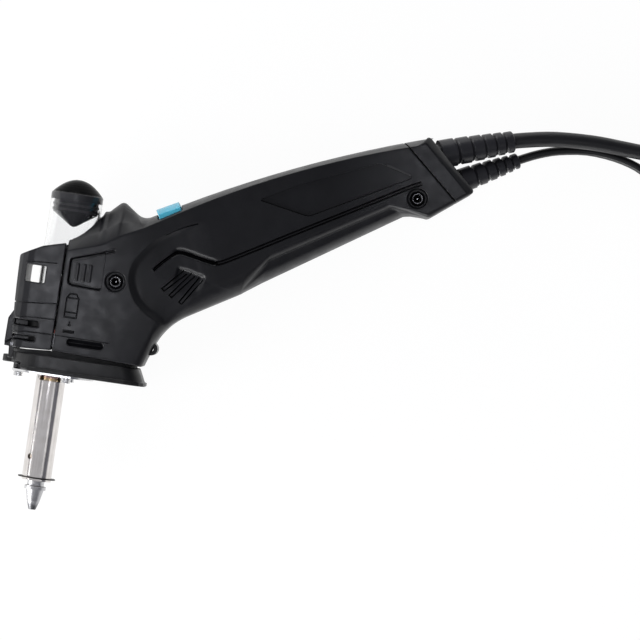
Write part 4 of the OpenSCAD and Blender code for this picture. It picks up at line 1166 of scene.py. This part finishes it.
@dataclass
class Fittings:
    """The flange, the door, the latch tongues, the button and the housing screws, drawn finer than in the model."""

    nodes: dict[str, Piece]
    finishes: Finishes

    def softened(self, node: str, name: str, voxel_mm: float, rounds: int, keep: float,
                 cutters: Sequence[Piece] = ()) -> Piece:
        """Copy a CAD node with edges as soft as its mould would leave them.

        Args:
            node: Name of the CAD node.
            name: Name of the new piece.
            voxel_mm: Width of the remesh's cells in millimetres.
            rounds: Rounds of smoothing.
            keep: Share of the remeshed triangles that stays.
            cutters: What to cut off first.

        Returns:
            The new piece.
        """
        thing = merged_copy(self.nodes[node], name)
        if cutters:
            combine(thing, cutters)
        refine(thing, voxel_mm)
        relax(thing, rounds, keep)
        return thing

    def flange(self) -> None:
        """Give the flange its lip: above it the sides stand back."""
        plan = rounded([(-17.8, -HALF + 0.8, 12.4), (41.7, -HALF + 0.8, 8.2), (41.7, HALF - 0.8, 8.2),
                        (-17.8, HALF - 0.8, 12.4)])
        slim = rounded([(-17.6, -HALF + 1.0, 12.2), (38.8, -HALF + 1.0, 8), (38.8, HALF - 1.0, 8),
                        (-17.6, HALF - 1.0, 12.2)])
        core = lifted((plan, 2.0), (plan, 2.6), (slim, 8.7))
        frame = block((-19.5, 60), (2.5, 8.6), (-19, 19))
        combine(frame, [core, block((-30, -12.6), (0, 9), (-7.7, 7.7))])
        thing = self.softened("flange", "rest_flange", 0.26, 3, 0.35, [frame])
        finish_piece(thing, self.finishes, "iron", "flange", MOULDED_EDGE, "flange")

    def door(self) -> None:
        """Soften the door's edges and run its fine lines round its front."""
        thing = self.softened("front_door", "door_shell", 0.28, 3, 0.3)
        lines = (((-23, 30.4), (-10.5, 31.1), (0.4, 32.3)), ((-23, 24.0), (-6.1, 24.9), (0.4, 24.9)),
                 ((-17.6, 49.0), (-10, 49.6), (-3.4, 50.0)), ((-23, 17.4), (-12, 18.0), (0.4, 18.2)))
        for line in lines:
            front = -20.9 + (50.0 - line[0][1]) * 0.048
            plan = rounded([(front, -15.6, 6.6), (8, -15.6, 0.5), (8, 15.6, 0.5), (front, 15.6, 6.6)])
            groove = prism(ribbon(np.array(line), 0.5), -19, 19)
            combine(groove, [lifted((plan, 10), (plan, 60)), block((-30, -18.5), (10, 30), (-5.6, 5.6))])
            combine(thing, [groove])
            (x0, y0), (x1, y1) = line[:2]
            flat = np.array(((-15.0, y0 + (y1 - y0) * (-15.0 - x0) / (x1 - x0)), *line[1:]))
            floor, edge = ribbon(flat, 0.1), ribbon(flat, 0.65)
            combine(thing, [stacked((floor, way * 15.1), (edge, way * 16.0), (edge, way * 17.0)) for way in (1, -1)])
        finish_piece(thing, self.finishes, "door", "housing", MOULDED_EDGE, "front_door")

    def latches(self) -> None:
        """Sink grooves between the ribs of the latch tongues."""
        for way, side in ((1, "left"), (-1, "right")):
            thing = self.softened(f"latch_{side}", f"{side}_tongue", 0.2, 2, 0.4)
            low, high = sorted((way * 15.3, way * 17.5))
            for x in (4.85, 7.75, 10.45):
                combine(thing, [block((x, x + 0.55), (44.0, 50.9), (low, high))])
            finish_piece(thing, self.finishes, f"latch_{side}", "housing", MOULDED_EDGE, f"latch_{side}")

    def screws(self) -> None:
        """Turn the two housing screws with a rounded rim and a six-lobed socket."""
        profile = [(1.5, -1.2), (1.5, 12.0), (2.8, 12.0), (2.8, 14.1), (2.76, 14.4), (2.64, 14.7), (2.42, 14.92),
                   (2.15, 15.0), (1.9, 14.94), (1.7, 14.72), (1.6, 14.4), (1.55, 14.1), (1.5, 12.4), (0.3, 10.4)]
        around, lobe, first_lobed = 72, 0.17, 11
        turns = [2 * math.pi * k / around for k in range(around)]
        skins = []
        for x, y in SCREW_SPOTS:
            rings = []
            for n, (radius, z) in enumerate(profile):
                waves = lobe * radius if n >= first_lobed else 0.0
                reach = [radius + waves * math.cos(6 * t) for t in turns]
                rings.append([at(x + r * math.cos(t), y + r * math.sin(t), z) for r, t in zip(reach, turns)])
            skins.append(rings)
        thing = skinned("socket_screws", *skins)
        finish_piece(thing, self.finishes, "iron", "black_screws", TURNED_EDGE, "housing_screws")

    def button(self) -> None:
        """Soften the blue button's edges."""
        thing = self.softened("trigger_button", "blue_button", 0.2, 3, 0.3)
        finish_piece(thing, self.finishes, "trigger", "button", 60.0, "trigger_button")

    def build(self) -> None:
        """Make all the smaller pieces."""
        for make in (self.flange, self.door, self.latches, self.screws, self.button):
            make()

# ---- strain reliefs


@dataclass(frozen=True)
class ReliefAxis:
    """The axis of a strain relief, from its exit in the cap down towards the bench."""

    u: float
    v: float
    z: float
    tilt: float
    dip: float
    length: float
    root: float
    base: float
    end: float
    rings: int = 6

    def along(self, s: float) -> Vector:
        """Give the place s millimetres out along the axis.

        Args:
            s: How far out, in millimetres.

        Returns:
            The place in metres.
        """
        flat = s * math.cos(math.radians(self.dip))
        tilt = math.radians(self.tilt)
        return at(*HANDLE.flat(self.u + flat * math.cos(tilt), self.v + flat * math.sin(tilt)),
                  self.z - s * math.sin(math.radians(self.dip)))

    def axes(self) -> tuple[Vector, Vector]:
        """Give two directions across the axis.

        Returns:
            The directions.
        """
        way = (self.along(1.0) - self.along(0.0)).normalized()
        side = way.cross(Vector((0, 0, 1))).normalized()
        return side, side.cross(way)

    def skin(self, name: str, rows: Sequence[tuple[float, Sequence[float]]]) -> Piece:
        """Close a skin round the axis.

        Args:
            name: The piece's name.
            rows: For each row its place along the axis and its radii round it, in millimetres.

        Returns:
            The piece.
        """
        side, up = self.axes()
        rings = []
        for s, radii in rows:
            centre = self.along(s)
            turns = [2 * math.pi * k / len(radii) for k in range(len(radii))]
            rings.append([centre + (side * math.cos(turn) + up * math.sin(turn)) * radius * MM
                          for radius, turn in zip(radii, turns)])
        return skinned(name, rings)

    def rod(self, radius: float, low: float, high: float) -> Piece:
        """Give a rod on the axis."""
        return self.skin("tool", [(low, [radius] * 64), (high, [radius] * 64)])

    def ring_start(self, k: int) -> float:
        """Give where ring k starts; the rings get shorter towards the cord."""
        return self.length / self.rings * (1.3 * k - 0.06 * k * (k - 1))

    def ribs(self, name: str) -> Piece:
        """Mould the relief: rings with slots between them, bridged by two webs turned from slot to slot.

        Args:
            name: The piece's name.

        Returns:
            The relief.
        """
        around = 72
        rows = [(-8.0, [self.root] * around), (-0.02, [self.root] * around)]
        steps = 230
        last = self.length + 0.6
        for i in range(steps + 1):
            s = last * i / steps
            k = max(n for n in range(self.rings) if self.ring_start(n) <= s)
            outer = self.base + (self.end - self.base) * k / (self.rings - 1)
            outer -= 0.5 * max(0.0, 1.0 - (last - s) / 0.6) ** 2
            gaps = [s - self.ring_start(n) for n in range(1, self.rings)]
            past = min(gaps, key=abs)
            late = min(abs(gap - 1.5) for gap in gaps)
            line = 1.0 - min(1.0, past / 1.1 if past > 0 else -past / 0.2)
            radii = []
            for a in range(around):
                top = math.cos(2 * math.pi * a / around)
                cut = 1.8 * rise((abs(top) - 0.72) / 0.06)
                span = abs(past) if top < 0 else late
                radii.append(outer - max(line, cut * (1.0 - rise((span - 0.45) / 0.2))))
            rows.append((s, radii))
        return self.skin(name, rows)


HOSE_AXIS = ReliefAxis(u=HL + 1, v=6.14, z=2.5, tilt=-9.2, dip=13.0, length=34.0, root=4.6, base=6.4, end=4.9)
LEAD_AXIS = ReliefAxis(u=HL + 6.5, v=-8.0, z=-4.0, tilt=0.0, dip=12.0, length=27.4, root=3.6, base=5.4, end=3.6)


# ---- cords


@dataclass(frozen=True)
class Winding:
    """A coil wound turn by turn through the cells of its cross section."""

    centre: Flat
    cells: tuple[Flat, ...]
    start_angle: float
    sense: int
    total: float
    pitch: float
    shift: float
    step: float = 15.0

    def points(self) -> list[Vector]:
        """Give the coil's centreline, from its start to where its tail leaves.

        Returns:
            The points, in metres.
        """
        count = math.ceil(self.total / self.step)
        out = []
        for k in range(count + 1):
            turned = self.total * k / count
            radius, height = self.cells[0]
            for n in range(1, len(self.cells)):
                share = rise((turned - n * self.pitch) / self.shift)
                radius += (self.cells[n][0] - self.cells[n - 1][0]) * share
                height += (self.cells[n][1] - self.cells[n - 1][1]) * share
            angle = math.radians(self.start_angle + self.sense * turned)
            out.append(on_bench(self.centre[0] + radius * math.cos(angle),
                                self.centre[1] + radius * math.sin(angle), height))
        return out


def eased(points: Sequence[Vector], steps: int) -> list[Vector]:
    """Run a smooth curve through points.

    Args:
        points: The points to pass through.
        steps: New points per stretch.

    Returns:
        The points of the curve, with both ends kept.
    """
    out: list[Vector] = []
    last = len(points) - 1
    for i in range(last):
        a, b = points[max(i - 1, 0)], points[i]
        c, d = points[i + 1], points[min(i + 2, last)]
        for k in range(steps):
            t = k / steps
            out.append(0.5 * (2 * b + (c - a) * t + (2 * a - 5 * b + 4 * c - d) * t * t
                              + (3 * b - a - 3 * c + d) * t ** 3))
    return [*out, points[last]]


@dataclass
class Cord:
    """One free cord from its strain relief through its coil to its far end."""

    name: str
    slot: str
    diameter_mm: float
    length: float
    far_end: str
    start: tuple[Vector, Vector]
    route: tuple[Point, ...]
    winding: Winding
    tail: tuple[Point, ...]
    nodes: tuple[str, ...]
    on_it: tuple[str, ...] = ()

    def line(self) -> list[Vector]:
        """Give the cord's whole centreline in metres.

        Returns:
            The points, in metres.
        """
        free = eased([*self.start, *[on_bench(*p) for p in self.route]], 3)
        tail = eased([on_bench(*p) for p in self.tail], 3)
        return [*free, *self.winding.points()[1:], *tail[1:]]

    def build(self, cad: dict[str, Piece], finishes: Finishes) -> None:
        """Args:
            cad: The CAD nodes by name.
            finishes: The iron's finishes.
        """
        points = self.line()
        data = bpy.data.curves.new(self.name, "CURVE")
        data.dimensions = "3D"
        data.bevel_depth = self.diameter_mm * MM / 2
        data.bevel_resolution = 4
        data.use_fill_caps = True
        spline = data.splines.new("POLY")
        spline.points.add(len(points) - 1)
        for knot, place in zip(spline.points, points):
            knot.co = (*place, 1.0)
        spline.use_smooth = True
        thing = put(self.name, data)
        finish_piece(thing, finishes, "iron", self.slot, None, *self.nodes)
        measured = sum((b - a).length for a, b in zip(points, points[1:]))
        LOG.info("%s: %.3f m laid for %.3f m", self.name, measured, self.length)
        tuple(self.start[0])
        [cad[name] for name in self.on_it]


def vacuum_hose() -> Cord:
    """Give the hose: 7 mm, from the upper relief to its coil and push-on fitting.

    Returns:
        The cord.
    """
    inner, outer = 32.5, 39.5
    low, mid, top = 3.5, 10.5, 17.5
    return Cord(
        name="hose", slot="hose", diameter_mm=7.0, length=1.4, far_end="fitting",
        start=(HOSE_AXIS.along(33.45), HOSE_AXIS.along(37.0)),
        route=((206, 137.6, 9.9), (218, 138.7, 8.6), (230, 139.0, 7.2), (243, 138.4, 5.2), (256, 138.0, 3.8),
               (270, 139.2, low), (282.4, 142.7, low), (293.3, 147.8, low)),
        winding=Winding(centre=(310, 112), start_angle=115.0, sense=-1, total=1903.0, pitch=305.0, shift=50.0,
                        cells=((outer, low), (inner, low), (inner, mid), (inner, top), (outer, top), (outer, mid))),
        tail=tuple((348.637 + 0.20791 * s, 120.213 - 0.97815 * s, z) for s, z in
                   ((0, 10.5), (12, 10.4), (19, 9.2), (28, 6.4), (33.5, 5.5), (38, 5.5))),
        nodes=("vacuum_hose", "hose_coil", "hose_tail"), on_it=("hose_fitting", "hose_tie"))


def power_lead() -> Cord:
    """Give the lead: 4 mm, from the lower relief to its coil and round plug.

    Returns:
        The cord.
    """
    inner, middle, outer = 20.0, 24.0, 28.0
    low, mid, top = 2.0, 6.0, 10.0
    return Cord(
        name="lead", slot="lead", diameter_mm=4.0, length=1.4, far_end="plug",
        start=(LEAD_AXIS.along(26.85), LEAD_AXIS.along(30.4)),
        route=((203, 130.4, 6.1), (212, 133.3, 4.6), (225, 135.2, 2.6), (238, 134.2, low), (248.5, 131.3, low),
               (255, 127.2, low), (259.6, 121.5, low), (262, 114, low), (263.4, 103, low), (265, 90, low),
               (267, 78, low), (269.6, 62, low), (271.4, 49, low), (272, 37, low)),
        winding=Winding(centre=(300, 37), start_angle=180.0, sense=1, total=2610.0, pitch=310.0, shift=40.0,
                        cells=((outer, low), (middle, low), (inner, low), (inner, mid), (inner, top),
                               (middle, top), (middle, mid), (outer, mid), (outer, top))),
        tail=((300, 9, 10), (306, 9, 10), (312.5, 9, 9.3), (319, 9, 8), (323, 9, 8)),
        nodes=("power_lead", "lead_coil", "lead_tail"), on_it=("lead_plug", "plug_pins", "lead_tie"))


# ---- studio


@dataclass
class Studio:
    """A white table seen from straight above, with wide soft lamps round it and two narrow ones over it."""

    target: Vector = field(default_factory=lambda: at(116.0, 41.9))
    right: Vector = field(default_factory=lambda: Vector((0.98953, 0.14436, 0.0)))
    view_width: float = 0.288
    distance: float = 1.6
    sensor: float = 36.0

    def camera(self) -> None:
        """Hang the camera over the iron."""
        data = bpy.data.cameras.new("studio_camera")
        data.sensor_width = self.sensor
        data.lens = self.sensor * self.distance / self.view_width
        data.clip_end = 20.0
        eye = put("studio_camera", data)
        up = Vector((-self.right.y, self.right.x, 0.0))
        turn = Matrix((self.right, up, Vector((0.0, 0.0, 1.0)))).transposed().to_4x4()
        eye.matrix_world = Matrix.Translation(self.target + Vector((0.0, 0.0, self.distance))) @ turn
        bpy.context.scene.camera = eye

    def lamp(self, name: str, place: Point, size: Flat, power: float, aim: Point | None = None) -> None:
        """Set up one soft rectangular lamp.

        Args:
            name: The lamp's name.
            place: Where it stands, in metres.
            size: Its width and height in metres.
            power: Its power in watts.
            aim: Where it points, or the middle of the iron.
        """
        data = bpy.data.lights.new(name, "AREA")
        data.shape = "RECTANGLE"
        data.size, data.size_y = size
        data.energy = power
        turn = (Vector(aim or self.target) - Vector(place)).to_track_quat("-Z", "Y")
        put(name, data).matrix_world = Matrix.Translation(place) @ turn.to_matrix().to_4x4()

    def snoot(self, name: str, over: Flat, reach: float, power: float) -> None:
        """Set up one narrow lamp that shines straight down and fades out round its middle.

        Args:
            name: The lamp's name.
            over: The middle of its pool of light, in metres.
            reach: The radius where its light ends, in metres.
            power: Its power in watts.
        """
        height = 0.35
        data = bpy.data.lights.new(name, "SPOT")
        data.color = (0.93, 0.94, 1.0)
        data.energy = power
        data.shadow_soft_size = 0.02
        data.spot_size = 2.0 * math.atan(reach / height)
        data.spot_blend = 1.0
        put(name, data).location = (*over, height)

    def table(self) -> None:
        """Lay the pale table, whose glow only the camera sees."""
        mesh = bmesh.new()
        bmesh.ops.create_grid(mesh, x_segments=1, y_segments=1, size=3.0)
        under_iron = (0.12, 0.03, -0.00005)  # a hair below the bench's height
        bmesh.ops.translate(mesh, verts=mesh.verts, vec=under_iron)
        floor = outward("table", mesh)
        shade = Shade("table_white")
        shade.set(Base_Color=(0.86, 0.86, 0.86), Roughness=0.9, Specular_IOR_Level=0.1)
        shade.show(shade.mix(shade.seen_directly(0.9), shade.shader, shade.add("Emission", Strength=1.06)))
        floor.data.materials.append(shade.material)

    def room(self) -> None:
        """Give the room its even light and, low down, the white backdrop past the table."""
        world = bpy.data.worlds.new("studio_room")
        world.use_nodes = True
        graph = Graph(world.node_tree, "OutputWorld")
        height = graph.add("SeparateXYZ", graph.add("TexCoord").outputs["Generated"]).outputs["Z"]
        backdrop = graph.maths("MULTIPLY", graph.seen_directly(1.0), graph.spread(height, 1.0, 0.0, 0.08, 0.2))
        even = graph.add("Background", Color=(0.15, 0.153, 0.175))
        graph.show(graph.mix(backdrop, even, graph.add("Background", Color=(1.0, 1.0, 1.0))))
        bpy.context.scene.world = world

    def build(self) -> None:
        """Set up the camera, the table and the lamps."""
        self.camera()
        self.table()
        self.room()
        self.lamp("window_key", (-0.78, -0.45, 0.3), (0.6, 0.4), 9.5)
        self.lamp("window_far", (-0.42, 0.87, 0.28), (1.2, 0.3), 4.0)
        self.lamp("window_near", (-0.1, -0.88, 0.2), (0.9, 0.3), 5.5)
        self.snoot("snoot_head", (-0.012, 0.03), 0.058, 0.95)
        self.snoot("snoot_cap", (0.163, 0.11), 0.045, 0.45)
        self.lamp("panel_barrel", (-0.22, -0.06, 0.62), (1.4, 0.2), 0.34, (-0.22, -0.06, 0.0))
        self.lamp("strip_left", (-0.98, -0.06, 0.62), (0.03, 0.2), 0.06, (0.0, -0.06, 0.0))
        self.lamp("strip_right", (0.53, -0.06, 0.62), (0.016, 0.2), 0.04, (0.0, -0.06, 0.0))
        bpy.context.scene.view_settings.view_transform = "Standard"

# ---- the iron


@dataclass
class Iron:
    """The whole iron: its CAD nodes with their finishes and the pieces that refine them."""

    frame: dict
    finishes: Finishes

    def dress_nodes(self) -> None:
        """Give each CAD node the finish of its slot and even shading; the door's hinge pin gets the dark screws'
        finish instead, as painted shade.
        """
        slots = {part["node"]: part["material_slot"] for part in self.frame["record"]["subparts"]}
        for name, node in self.frame["nodes"].items():
            # painted shade: the hinge pin, plated steel by its slot, takes the dark screws' finish so that its end
            # stays dark by the door
            self.finishes.dress(node, "black_screws" if name == "door_hinge_pin" else slots[name])
            node.data.shade_smooth()

    def mouldings(self) -> None:
        """Soften the edges of the moulded pieces."""
        Shell(self.finishes).build()
        for axis, name, node in ((HOSE_AXIS, "hose_relief", "hose_strain_relief"),
                                 (LEAD_AXIS, "lead_relief", "lead_strain_relief")):
            finish_piece(axis.ribs(name), self.finishes, "iron", "relief", TURNED_EDGE, node)
        Fittings(self.frame["nodes"], self.finishes).build()

    def cords(self) -> None:
        """Lay the two cords."""
        for cord in (vacuum_hose(), power_lead()):
            cord.build(self.frame["nodes"], self.finishes)


def main() -> None:
    """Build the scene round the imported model."""
    logging.basicConfig(level=logging.INFO, format="%(name)s %(message)s")
    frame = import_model()
    Studio().build()
    iron = Iron(frame, Finishes())
    iron.dress_nodes()
    iron.cords()
    iron.mouldings()


if __name__ == "__main__":
    main()
